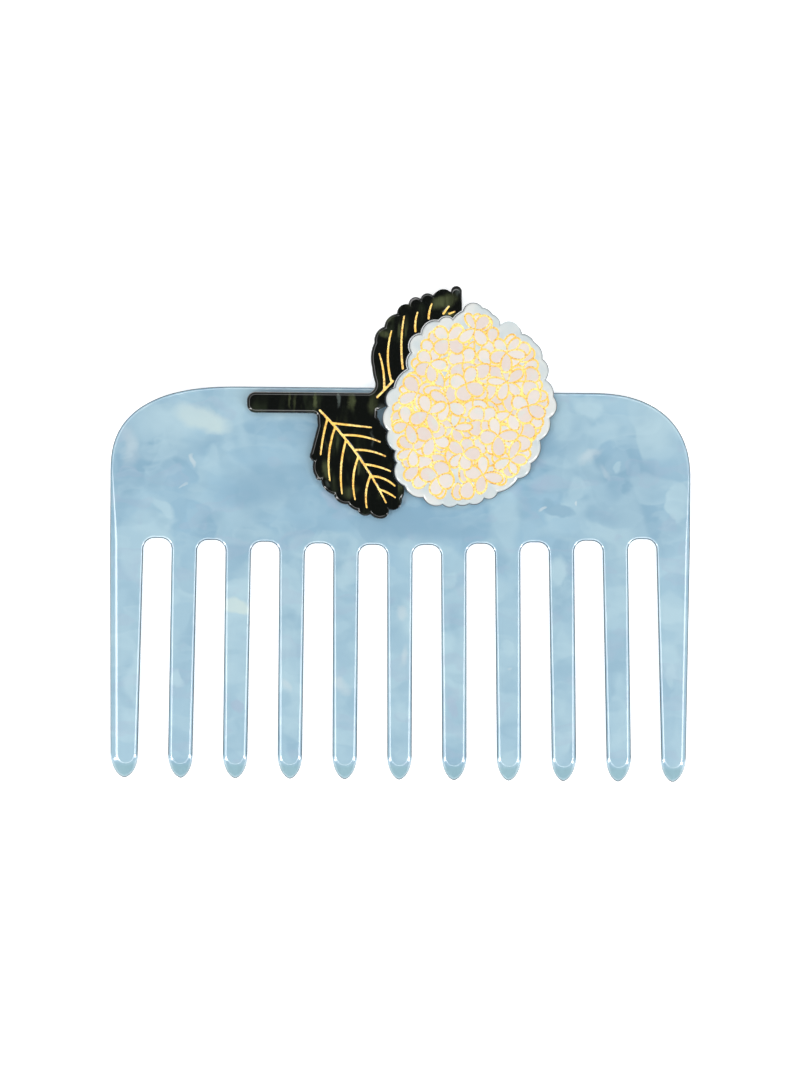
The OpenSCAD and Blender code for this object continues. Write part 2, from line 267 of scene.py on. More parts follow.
class Bench(Nodes):
    """Builds one material's nodes around a Principled shader.

    The Mix node has several sockets of one name, so the MIX numbers give the places of those for colours.
    """

    MIX_SHARE: ClassVar[int] = 0
    MIX_FIRST: ClassVar[int] = 6
    MIX_SECOND: ClassVar[int] = 7
    MIX_RESULT: ClassVar[int] = 2
    PUSH_DETAIL: ClassVar[float] = 1.5
    PUSH_MIDDLE: ClassVar[Triple] = (0.5, 0.5, 0.5)
    VEIL_DETAIL: ClassVar[float] = 1.2
    VEIL_ROUGHNESS: ClassVar[float] = 0.4

    def __init__(self, name: str) -> None:
        """Starts an empty material.

        Args:
            name: name of the material.
        """
        self.material = bpy.data.materials.new(name)
        self.material.use_nodes = True
        super().__init__(self.material.node_tree)
        self.tree.nodes.clear()
        self.shader = self.node("ShaderNodeBsdfPrincipled")
        self.node("ShaderNodeOutputMaterial", {"Surface": self.shader.outputs[0]})
        self.place = self.node("ShaderNodeTexCoord").outputs["Object"]

    def moved(
        self,
        shift: Triple = (0, 0, 0),
        turn: float = 0,
        stretch: Triple = (1, 1, 1),
    ) -> bpy.types.NodeSocket:
        """Object coordinates in millimetres after a shift, a turn about Z and a stretch.

        Args:
            shift: way that they move.
            turn: angle in degrees.
            stretch: factor along each axis.

        Returns:
            The coordinates.
        """
        inputs = {
            "Vector": self.vector("SCALE", {"Vector": self.place, "Scale": 1 / MM}),
            "Location": shift,
            "Rotation": (0.0, 0.0, math.radians(turn)),
            "Scale": stretch,
        }
        return self.node("ShaderNodeMapping", inputs).outputs["Vector"]

    def noise(
        self,
        vector: bpy.types.NodeSocket,
        size: float,
        detail: float = 2,
        roughness: float = 0.5,
    ) -> Value:
        """Fractal noise from nought to one.

        Args:
            vector: coordinates in millimetres.
            size: width of its largest blotches in millimetres.
            detail: number of finer layers.
            roughness: strength of each finer layer.

        Returns:
            The noise.
        """
        inputs = {"Vector": vector, "Scale": 1 / size, "Detail": detail, "Roughness": roughness}
        return self.value("ShaderNodeTexNoise", "Fac", inputs)

    def warped(self, vector: bpy.types.NodeSocket, *pushes: Span) -> bpy.types.NodeSocket:
        """Coordinates pushed about by noise.

        Args:
            vector: coordinates in millimetres.
            pushes: for each push, the width of its blotches and its furthest reach.

        Returns:
            The pushed coordinates.
        """
        for size, reach in pushes:
            inputs = {"Vector": vector, "Scale": 1 / size, "Detail": self.PUSH_DETAIL}
            push = self.node("ShaderNodeTexNoise", inputs).outputs["Color"]
            centred = self.vector("SUBTRACT", {0: push, 1: self.PUSH_MIDDLE})
            scaled = self.vector("SCALE", {"Vector": centred, "Scale": 2 * reach})
            vector = self.vector("ADD", {0: vector, 1: scaled})
        return vector

    def cloud(self, cloud: Cloud) -> Value:
        """Fractal noise with its own place and pushes."""
        vector = self.warped(self.moved(cloud.shift, stretch=cloud.stretch), *cloud.pushes)
        return self.noise(vector, cloud.size, cloud.detail, cloud.roughness)

    def veil(self, vector: bpy.types.NodeSocket, veil: Veil) -> Value:
        """Cloudy layer with a fairly crisp border.

        Args:
            vector: coordinates in millimetres.
            veil: size of its clouds, and the levels between which they come up and fade away.

        Returns:
            Strength of the layer from nought to one.
        """
        cloud = self.noise(vector, veil.size, self.VEIL_DETAIL, self.VEIL_ROUGHNESS)
        border = cloud.fade(veil.level, veil.level + veil.crisp)
        return border * cloud.fade(veil.level + veil.depth, veil.level)

    def patches(self, vector: bpy.types.NodeSocket, patchwork: Patchwork) -> Value:
        """Patchwork of cells, each with its own number from nought to one.

        Args:
            vector: coordinates in millimetres.
            patchwork: size of the cells and softness of their borders.

        Returns:
            The number.
        """
        inputs = {"Vector": vector, "Scale": 1 / patchwork.size, "Smoothness": patchwork.soft}
        colour = self.node("ShaderNodeTexVoronoi", inputs, feature="SMOOTH_F1").outputs["Color"]
        return self.value("ShaderNodeSeparateXYZ", "X", {0: colour})

    def chip(self, vector: bpy.types.NodeSocket, chip: Chip) -> Value:
        """One oval chip of sheet.

        Args:
            vector: coordinates in millimetres.
            chip: where it lies and how it looks.

        Returns:
            Strength of the chip from nought to its weight.
        """
        inputs = {
            "Vector": vector,
            "Location": (chip.x, chip.y, 0.0),
            "Rotation": (0.0, 0.0, math.radians(chip.turn)),
            "Scale": (chip.long, chip.wide, Chip.FLAT),
        }
        local = self.node("ShaderNodeMapping", inputs, vector_type="TEXTURE").outputs["Vector"]
        reach = self.value("ShaderNodeVectorMath", "Value", {0: local}, operation="LENGTH")
        shape = reach.fade(1.0, 1.0 - chip.soft) * chip.weight
        if chip.lean:
            along = self.value("ShaderNodeSeparateXYZ", "X", {0: local})
            shape = shape * (along * (chip.lean / 2) + (1 - chip.lean / 2))
        return shape

    def chips(self, vector: bpy.types.NodeSocket, chips: Sequence[Chip]) -> Value:
        """Several chips of one tone, the strongest in front.

        Args:
            vector: coordinates in millimetres.
            chips: the chips.

        Returns:
            Strength from nought to one.
        """
        first, *others = [self.chip(vector, chip) for chip in chips]
        for other in others:
            first = first.most(other)
        return first

    def blend(self, share: Number, first: Paint, second: Paint) -> bpy.types.NodeSocket:
        """Mixes two colours.

        Args:
            share: how much of the second colour shows.
            first: colour or socket.
            second: colour or socket.

        Returns:
            The mixed colour.
        """
        inputs = {self.MIX_SHARE: share, self.MIX_FIRST: first, self.MIX_SECOND: second}
        made = self.node("ShaderNodeMix", inputs, data_type="RGBA", blend_type="MIX", clamp_factor=True)
        return made.outputs[self.MIX_RESULT]

    def attribute(self, name: str) -> Value:
        """Reads a number that the mesh carries."""
        return self.value("ShaderNodeAttribute", "Fac", {}, attribute_name=name)

    def bump(self, height: Value, depth: float) -> None:
        """Roughens the shader's normal.

        Args:
            height: height from nought to one.
            depth: what a height of one stands for in millimetres.
        """
        made = self.node("ShaderNodeBump", {"Strength": 1.0, "Distance": depth * MM, "Height": height})
        self.feed(self.shader.inputs["Normal"], made.outputs["Normal"])

    def set(self, **inputs: object) -> None:
        """Sets or links the shader's sockets, with underscores for spaces."""
        for name, given in inputs.items():
            self.feed(self.shader.inputs[name.replace("_", " ")], given)


@dataclass(frozen=True)
class Acetate:
    """Polish that every acetate piece shares, with a painted shade line along the brink of its face."""

    roughness: float = 0.2
    coat: float = 1.0
    coat_roughness: float = 0.05
    coat_ior: float = 2.1
    ior: float = 1.49
    # Strength of the painted shade line along the brink, and the distances in millimetres where it is full and
    # where it ends.
    rim: float = 1.0
    rim_shade_full: float = 0.07
    rim_shade_end: float = 0.22
    rim_roughness: float = 0.5
    ripple_size: float = 7.0
    ripple_detail: float = 1
    ripple_depth: float = 0.02
    scuff_size: float = 0.5
    scuff_detail: float = 3
    scuff_fineness: float = 0.6
    scuff_depth: float = 0.0006
    scuff_roughness: float = 0.08

    def finish(self, bench: Bench, colour: bpy.types.NodeSocket, edge: Colour, dull: Number = 0.0) -> None:
        """Gives the shader its colour with a painted shade line along the brink of the face, its gloss and the
        faint ripple of a buffed sheet.

        Args:
            bench: the material that is being made.
            colour: colour of the face.
            edge: colour of the thin painted shade line along the brink of the face, where the gloss is also
                dulled.
            dull: share of the gloss that is worn away.
        """
        # Painted shade: the colour turns to the edge colour along the brink of the face, where the coat gives
        # way and the sheet gets rougher.
        rim = bench.attribute("edge_away").fade(self.rim_shade_end, self.rim_shade_full) * self.rim
        here = bench.moved()
        scuffs = bench.noise(here, self.scuff_size, self.scuff_detail, self.scuff_fineness)
        ripple = bench.noise(here, self.ripple_size, self.ripple_detail)
        bench.bump(ripple + scuffs * (self.scuff_depth / self.ripple_depth), self.ripple_depth)
        smooth_roughness = self.roughness - self.scuff_roughness / 2
        bench.set(
            Base_Color=bench.blend(rim, colour, edge),
            Roughness=scuffs * self.scuff_roughness + rim * self.rim_roughness + smooth_roughness,
            IOR=self.ior,
            Coat_Weight=(1 - rim) * ((1 - dull) * self.coat),
            Coat_Roughness=self.coat_roughness,
            Coat_IOR=self.coat_ior,
        )


@dataclass(frozen=True)
class BlueAcetate:
    """Pale blue sheet with overlapping cloudy chips, painted shade on its tooth tips and a painted shade line
    along its brink.
    """

    deep: Colour = paint(142, 183, 208)
    middle: Colour = paint(159, 200, 223)
    tooth: Colour = paint(172, 208, 226)
    pale: Colour = paint(192, 224, 236)
    cream: Colour = paint(216, 236, 234)
    lilac: Colour = paint(173, 193, 217)
    white: Colour = paint(214, 230, 236)
    # Painted shade on the chamfered tooth tips.
    tip: Colour = paint(142, 180, 190)
    # Painted shade line along the brink of the face.
    edge: Colour = paint(80, 88, 97)
    polish: Acetate = Acetate()
    squash: float = 0.35
    cloud_push: Span = (20, 6)
    cloud_size: float = 17
    cloud_detail: float = 2.5
    cloud_span: Span = (0.38, 0.62)
    tooth_span: Span = (4.0, -14.0)
    tooth_share: float = 0.85
    # Where the tooth tips get their painted shade, how strong it is and how much gloss they lose.
    tip_span: Span = (-40.2, -41.4)
    tip_shade_share: float = 0.75
    tip_dull: float = 0.5
    patch_stretch: Span = (1.15, 0.85)
    patch_push: Span = (0.7, 0.22)
    patch_span: Span = (0.45, 0.9)
    veil_stretch: Span = (0.75, 1.25)
    veil_push: Span = (0.5, 0.2)
    fray: tuple[Span, ...] = ((3.6, 1.5), (1.1, 0.3))
    patchworks: tuple[Patchwork, ...] = (
        Patchwork(9.0, pale, 0.5, (5, 2, 0), 8),
        Patchwork(6.0, deep, 0.5, (41, 13, 0), -20),
        Patchwork(3.8, tooth, 0.35, (23, 61, 0), 35),
    )
    veils: tuple[Veil, ...] = (
        Veil(10.0, pale, 0.45, (31, 14, 0), -25, 0.5, 0.06, 0.26),
        Veil(5.0, tooth, 0.35, (90, 71, 0), -10, 0.53, 0.05, 0.2),
        Veil(4.2, pale, 0.35, (57, 33, 0), 30, 0.52, 0.12, 0.3),
        Veil(6.5, deep, 0.4, (13, 47, 0), -60, 0.54, 0.12, 0.3),
        Veil(5.2, lilac, 0.3, (11, 83, 0), 50, 0.58, 0.05, 0.2),
    )
    deep_chips: tuple[Chip, ...] = (
        Chip(4, 1, 17, 3.6, 0, 0.75),
        Chip(-24.5, 8, 9.5, 6, 10, 0.75),
        Chip(-33.5, 15.8, 5, 2.2, 14, 0.6),
        Chip(35, 3.4, 5.5, 2.2, 0, 0.55),
        Chip(25.5, 15.8, 3.8, 2.6, -15, 0.65),
        Chip(27.5, 4.4, 4, 1.6, -12, 0.75, 0.4),
        Chip(-43, 8.5, 2.4, 2, 20, 0.5),
        Chip(-33, 2.5, 3.4, 1.8, -20, 0.55),
    )
    pale_chips: tuple[Chip, ...] = (
        Chip(-39.5, 19.4, 10.5, 5.5, 178, 0.9, 0.9, 0.3),
        Chip(35.5, 18.2, 4.5, 2.4, 10, 0.45, 0.7),
        Chip(-33.2, 13, 2.6, 2.1, 60, 0.55, 0.5, 0.8),
        Chip(-41.6, 4.3, 3.2, 1.2, -24, 0.75, 0.5, 0.5),
        Chip(-21.5, 21.2, 6.5, 2.6, 0, 0.5, 0.8),
        Chip(-10, 13.5, 3.5, 3.8, 40, 0.4, 0.7),
        Chip(32.8, 22.4, 3.8, 2.1, -10, 0.65, 0.5),
        Chip(44.6, 17.8, 5, 4.2, 60, 0.55, 0.8),
        Chip(48.7, 5.8, 2.1, 4.2, 186, 0.75, 0.3, 0.5),
        Chip(31, 8.4, 2.2, 1.7, 80, 0.5, 0.5, 0.6),
        Chip(38.2, 11.8, 0.9, 1.2, 0, 0.5, 0.5),
        Chip(-28.4, -9.6, 3.2, 2.1, -8, 0.55, 0.5),
        Chip(-39, -25.8, 1.3, 2.2, 20, 0.7, 0.5),
        Chip(-9.6, -7.4, 2.7, 2.9, 0, 0.6, 0.6),
        Chip(9.2, -8.3, 1.5, 2.1, -30, 0.6, 0.5, 0.6),
        Chip(19, -19.7, 1.5, 2, 30, 0.65, 0.4, 0.6),
        Chip(27.8, -6.8, 2.4, 3.6, 10, 0.75, 0.5),
        Chip(47.8, -12.6, 2.8, 3.4, -88, 0.75, 0.3, 0.6),
        Chip(47.9, -24.6, 1.4, 2.4, 10, 0.45, 0.5),
        Chip(-47.5, -27, 1.5, 3, 0, 0.4, 0.6),
        Chip(0.5, -31, 1.4, 2.2, 20, 0.4, 0.5),
    )
    cream_chips: tuple[Chip, ...] = (
        Chip(-34.9, 19.9, 6.6, 2.7, -17, 0.75, 0.55, 0.4),
        Chip(-28.6, -13.2, 3.6, 1.9, -12, 0.9, 0.45, 0.3),
    )
    white_chips: tuple[Chip, ...] = (
        Chip(-47.6, 14.6, 2.4, 5, 8, 0.45, 0.9),
        Chip(33.4, 13.8, 2.6, 1.3, 40, 0.5, 0.8),
        Chip(35.8, 11.4, 2.2, 0.9, -60, 0.4, 0.9, 0.5),
        Chip(-36.3, 12.6, 0.45, 1.1, 10, 0.6, 0.8),
        Chip(-38.2, 8, 0.35, 1.1, -40, 0.4, 0.5),
        Chip(-19.9, -27, 0.9, 1.5, 20, 0.5, 0.9),
        Chip(-10, -26.8, 1.3, 2, 28, 0.55, 0.8),
        Chip(0.8, -13.8, 1.4, 1.7, -20, 0.5, 0.8),
        Chip(0.9, -21.5, 1, 2.8, -8, 0.5, 0.9),
        Chip(24.9, 4.3, 0.3, 1, -50, 0.6, 0.5),
        Chip(31.2, 6, 0.3, 0.6, 0, 0.7, 0.5),
        Chip(19.2, -23.2, 0.8, 0.6, 10, 0.4, 0.8),
    )
    lilac_chips: tuple[Chip, ...] = (
        Chip(25, 8.6, 3, 2.3, 20, 0.45, 0.8),
        Chip(24, 12.2, 1.9, 1.2, 0, 0.35, 0.8),
        Chip(-12, 6, 2.5, 1.4, -30, 0.4, 0.5),
        Chip(-28.2, -30.5, 1.3, 1.5, 20, 0.6, 0.5),
        Chip(9.4, -30, 1.2, 2.4, 0, 0.5, 0.5),
    )

    def material(self) -> bpy.types.Material:
        """Makes the material.

        Returns:
            The material.
        """
        bench = Bench("blue_acetate")
        flat = bench.moved(stretch=(1, 1, self.squash))
        cloud = bench.noise(bench.warped(flat, self.cloud_push), self.cloud_size, self.cloud_detail)
        colour = bench.blend(cloud.fade(*self.cloud_span), self.deep, self.middle)
        down = bench.value("ShaderNodeSeparateXYZ", "Y", {0: flat})
        colour = bench.blend(down.fade(*self.tooth_span) * self.tooth_share, colour, self.tooth)
        for patch in self.patchworks:
            local = self._laid(bench, patch, self.patch_stretch, self.patch_push)
            share = bench.patches(local, patch).fade(*self.patch_span)
            colour = bench.blend(share * patch.weight, colour, patch.tone)
        for veil in self.veils:
            local = self._laid(bench, veil, self.veil_stretch, self.veil_push)
            colour = bench.blend(bench.veil(local, veil) * veil.weight, colour, veil.tone)
        frayed = bench.warped(flat, *self.fray)
        for chips, tone in (
            (self.deep_chips, self.deep),
            (self.pale_chips, self.pale),
            (self.lilac_chips, self.lilac),
            (self.cream_chips, self.cream),
            (self.white_chips, self.white),
        ):
            colour = bench.blend(bench.chips(frayed, chips), colour, tone)
        # Painted shade on the chamfered tooth tips, which also lose some of their coat.
        tips = down.fade(*self.tip_span)
        colour = bench.blend(tips * self.tip_shade_share, colour, self.tip)
        self.polish.finish(bench, colour, self.edge, tips * self.tip_dull)
        return bench.material

    def _laid(self, bench: Bench, layer: Layer, stretch: Span, push: Span) -> bpy.types.NodeSocket:
        """Coordinates of one patterned layer.

        Args:
            bench: the material that is being made.
            layer: where it lies.
            stretch: factors along X and Y.
            push: width and reach of its unevenness, as shares of its size.

        Returns:
            The coordinates.
        """
        local = bench.moved(layer.shift, layer.turn, (*stretch, self.squash))
        return bench.warped(local, (layer.size * push[0], layer.size * push[1]))


@dataclass(frozen=True)
class GreenAcetate:
    """Near-black green sheet with olive streaks and patches."""

    dark: Colour = paint(6, 10, 7)
    moss: Colour = paint(40, 48, 33)
    olive: Colour = paint(84, 92, 62)
    smoke: Colour = paint(92, 102, 98)
    # Colour of the painted shade line along the brink, which this polish leaves off, as its rim is nought.
    edge: Colour = paint(14, 18, 14)
    polish: Acetate = Acetate(roughness=0.08, coat=0.5, coat_ior=1.65, rim=0.0)
    streaks: Cloud = Cloud(2.4, 3, 0.6, stretch=(1, 0.25, 0.3), pushes=((6, 0.9),))
    patches: Cloud = Cloud(8, 1.5, shift=(4, 2, 0), pushes=((9, 4),))
    fine: Cloud = Cloud(1.2, shift=(17, 5, 0), stretch=(1, 0.2, 0.3))
    moss_spans: tuple[Span, Span] = ((0.5, 0.7), (0.34, 0.6))
    moss_share: float = 0.75
    olive_spans: tuple[Span, Span] = ((0.56, 0.7), (0.5, 0.66))
    olive_share: float = 0.5
    grain_span: Span = (0.3, 0.6)
    grain_share: float = 0.6
    grain_least: float = 0.4
    fray: tuple[Span, ...] = ((2.4, 0.7), (0.6, 0.22))
    olive_chips: tuple[Chip, ...] = (
        Chip(-19.4, 23.3, 0.35, 2, 0, 0.5),
        Chip(-15.1, 23.2, 0.45, 2.2, 4, 0.95),
        Chip(-8.8, 23, 0.9, 2.4, 3, 0.75),
        Chip(-5, 22.6, 1.3, 2.6, -3, 0.5),
        Chip(7.4, 40.6, 3.2, 1.5, 20, 0.9, 0.7),
        Chip(8.3, 38.4, 1.6, 0.7, -20, 0.8),
        Chip(-3, 34.9, 1.3, 1, 0, 0.7),
        Chip(-2.6, 37.6, 1.8, 0.9, 30, 0.5),
        Chip(-13, 11, 0.9, 2.3, 10, 0.6),
        Chip(-8.8, 7.2, 2.2, 1.2, 15, 0.6),
        Chip(-12.6, 15, 0.5, 2, 20, 0.4),
    )
    smoke_chips: tuple[Chip, ...] = (
        Chip(-11, 23.4, 0.5, 1.9, 0, 0.75),
        Chip(-3.2, 21.6, 1.1, 1.7, 10, 0.4),
        Chip(9.8, 42.4, 0.8, 1.1, -30, 0.7),
        Chip(-5, 16.6, 0.4, 2, 0, 0.3),
        Chip(-13, 8.6, 0.6, 0.9, 20, 0.4),
    )

    def material(self) -> bpy.types.Material:
        """Makes the material.

        Returns:
            The material.
        """
        bench = Bench("green_acetate")
        streaks = bench.cloud(self.streaks)
        patches = bench.cloud(self.patches)
        first, second = self.moss_spans
        share = streaks.fade(*first) * patches.fade(*second) * self.moss_share
        colour = bench.blend(share, self.dark, self.moss)
        fine = bench.cloud(self.fine)
        first, second = self.olive_spans
        share = fine.fade(*first) * patches.fade(*second) * self.olive_share
        colour = bench.blend(share, colour, self.olive)
        frayed = bench.warped(bench.moved(), *self.fray)
        grain = fine.fade(*self.grain_span) * self.grain_share + self.grain_least
        for chips, tone in ((self.olive_chips, self.olive), (self.smoke_chips, self.smoke)):
            colour = bench.blend(bench.chips(frayed, chips) * grain, colour, tone)
        self.polish.finish(bench, colour, self.edge)
        return bench.material


@dataclass(frozen=True)
class PearlAcetate:
    """Pearly white sheet whose petals are warmer than its rim, with a painted shade line along its brink."""

    rim: Colour = paint(230, 233, 230)
    cool: Colour = paint(210, 221, 223)
    petal: Colour = paint(242, 234, 226)
    blush: Colour = paint(235, 220, 212)
    mint: Colour = paint(226, 232, 225)
    # Painted shade line along the brink of the face.
    edge: Colour = paint(96, 104, 110)
    polish: Acetate = Acetate(roughness=0.3, coat=0.5)
    silk: Cloud = Cloud(5, pushes=((7, 3),))
    silk_span: Span = (0.4, 0.62)
    opal: Cloud = Cloud(1.8, shift=(8, 3, 0), pushes=((3, 1),))
    opal_span: Span = (0.52, 0.7)
    mint_share: float = 0.6

    def material(self) -> bpy.types.Material:
        """Makes the material.

        Returns:
            The material.
        """
        bench = Bench("pearl_acetate")
        rim = bench.blend(bench.cloud(self.silk).fade(*self.silk_span), self.cool, self.rim)
        opal = bench.cloud(self.opal)
        warm = bench.blend(bench.attribute("petal_tone"), self.petal, self.blush)
        warm = bench.blend(opal.fade(*self.opal_span) * self.mint_share, warm, self.mint)
        colour = bench.blend(bench.attribute("in_petals"), rim, warm)
        self.polish.finish(bench, colour, self.edge)
        return bench.material


@dataclass(frozen=True)
class Gilding:
    """Gold paint that fills the engraving, with a sparkle, random dark grains and painted shade along its
    edges against the groove walls.
    """

    bright: Colour = paint(255, 224, 130)
    warm: Colour = paint(252, 202, 88)
    deep: Colour = paint(178, 112, 38)
    roughness: float = 0.36
    metallic: float = 0.3
    coat: float = 0.4
    coat_roughness: float = 0.12
    grain_size: float = 0.3
    grain_detail: float = 3
    grain_fineness: float = 0.6
    grain_depth: float = 0.05
    drift_size: float = 2.4
    drift_detail: float = 1
    drift_span: Span = (0.36, 0.64)
    # Painted shade: strength of the darkening where the gold meets the groove walls.
    groove_edge_shade: float = 0.2
    deep_grain: float = 3.2
    deep_level: float = 1.55
    deep_span: Span = (0, 0.6)
    deep_share: float = 0.8

    def material(self) -> bpy.types.Material:
        """Makes the material.

        Returns:
            The material.
        """
        bench = Bench("gilding")
        here = bench.moved()
        grain = bench.noise(here, self.grain_size, self.grain_detail, self.grain_fineness)
        drift = bench.noise(here, self.drift_size, self.drift_detail)
        edge = bench.attribute("groove_edge")
        colour = bench.blend(drift.fade(*self.drift_span), self.bright, self.warm)
        # Dark grains of the paint, with painted shade added where the gold meets the groove walls.
        dark = (edge * self.groove_edge_shade + grain * self.deep_grain - self.deep_level).fade(*self.deep_span)
        colour = bench.blend(dark * self.deep_share, colour, self.deep)
        bench.bump(grain, self.grain_depth)
        bench.set(Base_Color=colour, Metallic=self.metallic, Roughness=self.roughness)
        bench.set(Coat_Weight=self.coat, Coat_Roughness=self.coat_roughness)
        return bench.material


@dataclass(frozen=True)
class PaleFloor:
    """Plain pale table top."""

    colour: Colour = paint(246, 247, 248)
    roughness: float = 0.9
    light: Colour = (1.0, 1.0, 1.0)
    glow: float = 0.5

    def material(self) -> bpy.types.Material:
        """Makes the material.

        Returns:
            The material.
        """
        bench = Bench("pale_floor")
        bench.set(Base_Color=self.colour, Roughness=self.roughness)
        bench.set(Emission_Color=self.light, Emission_Strength=self.glow)
        return bench.material


@dataclass(frozen=True)
class ArcLoop:
    """Closed anticlockwise outline whose corners are joined by arcs.

    A positive bulge stands out to the right of the way from one corner to the next.
    """

    corners: np.ndarray
    bulges: np.ndarray
    ARC_STEP: ClassVar[float] = math.radians(8)
    MITRE: ClassVar[float] = 1.4
    LEAST: ClassVar[float] = 1e-6
    STRAIGHT: ClassVar[float] = 1e-9

    @classmethod
    def of(cls, rows: Iterable[Triple]) -> ArcLoop:
        """Makes an outline of rows of x, y and bulge."""
        table = np.array(list(rows), float)
        return cls(table[:, 0] + 1j * table[:, 1], table[:, 2])

    def half_turns(self) -> np.ndarray:
        """Half the angle that each arc turns through."""
        return 2 * np.arctan(2 * self.bulges / np.abs(self.chords()))

    def chords(self) -> np.ndarray:
        """Way from each corner to the next."""
        return np.roll(self.corners, -1) - self.corners

    def inset(self, depth: float) -> ArcLoop:
        """Outline drawn in by a depth, or out where that is negative.

        Args:
            depth: distance that every edge moves in.

        Returns:
            The new outline, with as many corners.
        """
        chords = self.chords()
        way = chords / np.abs(chords)
        half = self.half_turns()
        leaving = 1j * way * np.exp(-1j * half)
        arriving = np.roll(1j * way * np.exp(1j * half), 1)
        way_in = arriving + leaving
        length = np.maximum(np.abs(way_in), self.LEAST)
        corners = self.corners + depth * way_in / length * np.minimum(2 / length, self.MITRE)
        new_chord = np.abs(np.roll(corners, -1) - corners)
        bulges = np.zeros(len(corners))
        for i, bulge in enumerate(self.bulges):
            if bulge:
                side = math.copysign(1, bulge)
                radius = (abs(chords[i]) ** 2 / 4 + bulge**2) / (2 * abs(bulge)) - side * depth
                reach = min(new_chord[i] / 2, radius)
                bulges[i] = side * (radius - math.sqrt(radius**2 - reach**2))
        return ArcLoop(corners, bulges)

    def points(self, like: ArcLoop | None = None) -> np.ndarray:
        """Points along the outline.

        Args:
            like: outline that says how many points each arc gets, if not this one.

        Returns:
            The points as complex numbers.
        """
        steps = np.maximum(1, np.round(np.abs(2 * (like or self).half_turns()) / self.ARC_STEP)).astype(int)
        found: list[complex] = []
        for a, chord, half, count in zip(self.corners, self.chords(), self.half_turns(), steps):
            for k in range(count):
                found.append(a + arc_way(chord, half, k / count))
        return np.array(found)


def polar(degrees: float) -> complex:
    """Way of length one at an angle."""
    return complex(math.cos(math.radians(degrees)), math.sin(math.radians(degrees)))


def arc_way(chord: complex, half: float, part: float) -> complex:
    """Way from an arc's start to a point on it.

    Args:
        chord: way from its start to its end.
        half: half the angle that it turns through.
        part: share of the arc.

    Returns:
        The way as a complex number.
    """
    if abs(half) < ArcLoop.STRAIGHT:
        return chord * part
    across = abs(chord) / math.sin(half)
    return across * math.sin(half * part) * (chord / abs(chord)) * complex(np.exp(1j * half * (part - 1)))


@dataclass(frozen=True)
class Groove:
    """Engraved shape as loops from its middle outwards.

    Each loop has its level, from nought at the floor to one at the face.
    """

    loops: tuple[np.ndarray, ...]
    levels: tuple[float, ...]
    tone: float = 0.0

    def middle(self) -> complex:
        """Middle of the outer loop."""
        return complex(self.loops[-1].mean())

    def reach(self) -> float:
        """Distance from the middle to the furthest point."""
        return float(np.abs(self.loops[-1] - self.middle()).max())


def longest_run(flags: np.ndarray) -> tuple[int, int]:
    """Finds the longest run of true flags.

    Args:
        flags: the flags.

    Returns:
        Its first and last place.
    """
    edges = np.flatnonzero(np.diff(np.concatenate([[0], flags.astype(int), [0]])))
    starts, stops = edges[::2], edges[1::2]
    best = int(np.argmax(stops - starts))
    return int(starts[best]), int(stops[best]) - 1


def loop_distance(points: np.ndarray, loop: np.ndarray) -> np.ndarray:
    """Distance from each point to a closed loop.

    Args:
        points: points as complex numbers.
        loop: the loop's corners as complex numbers.

    Returns:
        The distances.
    """
    side = np.roll(loop, -1) - loop
    away = points[:, None] - loop[None, :]
    share = np.clip((away * side.conjugate()[None, :]).real / np.abs(side)[None, :] ** 2, 0, 1)
    return np.abs(away - share * side[None, :]).min(axis=1)


def inside_loop(points: np.ndarray, loop: np.ndarray) -> np.ndarray:
    """Which points lie inside a closed loop.

    Args:
        points: points as complex numbers.
        loop: the loop's corners as complex numbers.

    Returns:
        A flag for each point.
    """
    a, b = loop[None, :], np.roll(loop, -1)[None, :]
    p = points[:, None]
    spans = (a.imag > p.imag) != (b.imag > p.imag)
    rise = np.where(b.imag == a.imag, 1.0, b.imag - a.imag)
    cross = (b.real - a.real) * (p.imag - a.imag) / rise + a.real
    return (np.count_nonzero(spans & (p.real < cross), axis=1) % 2).astype(bool)


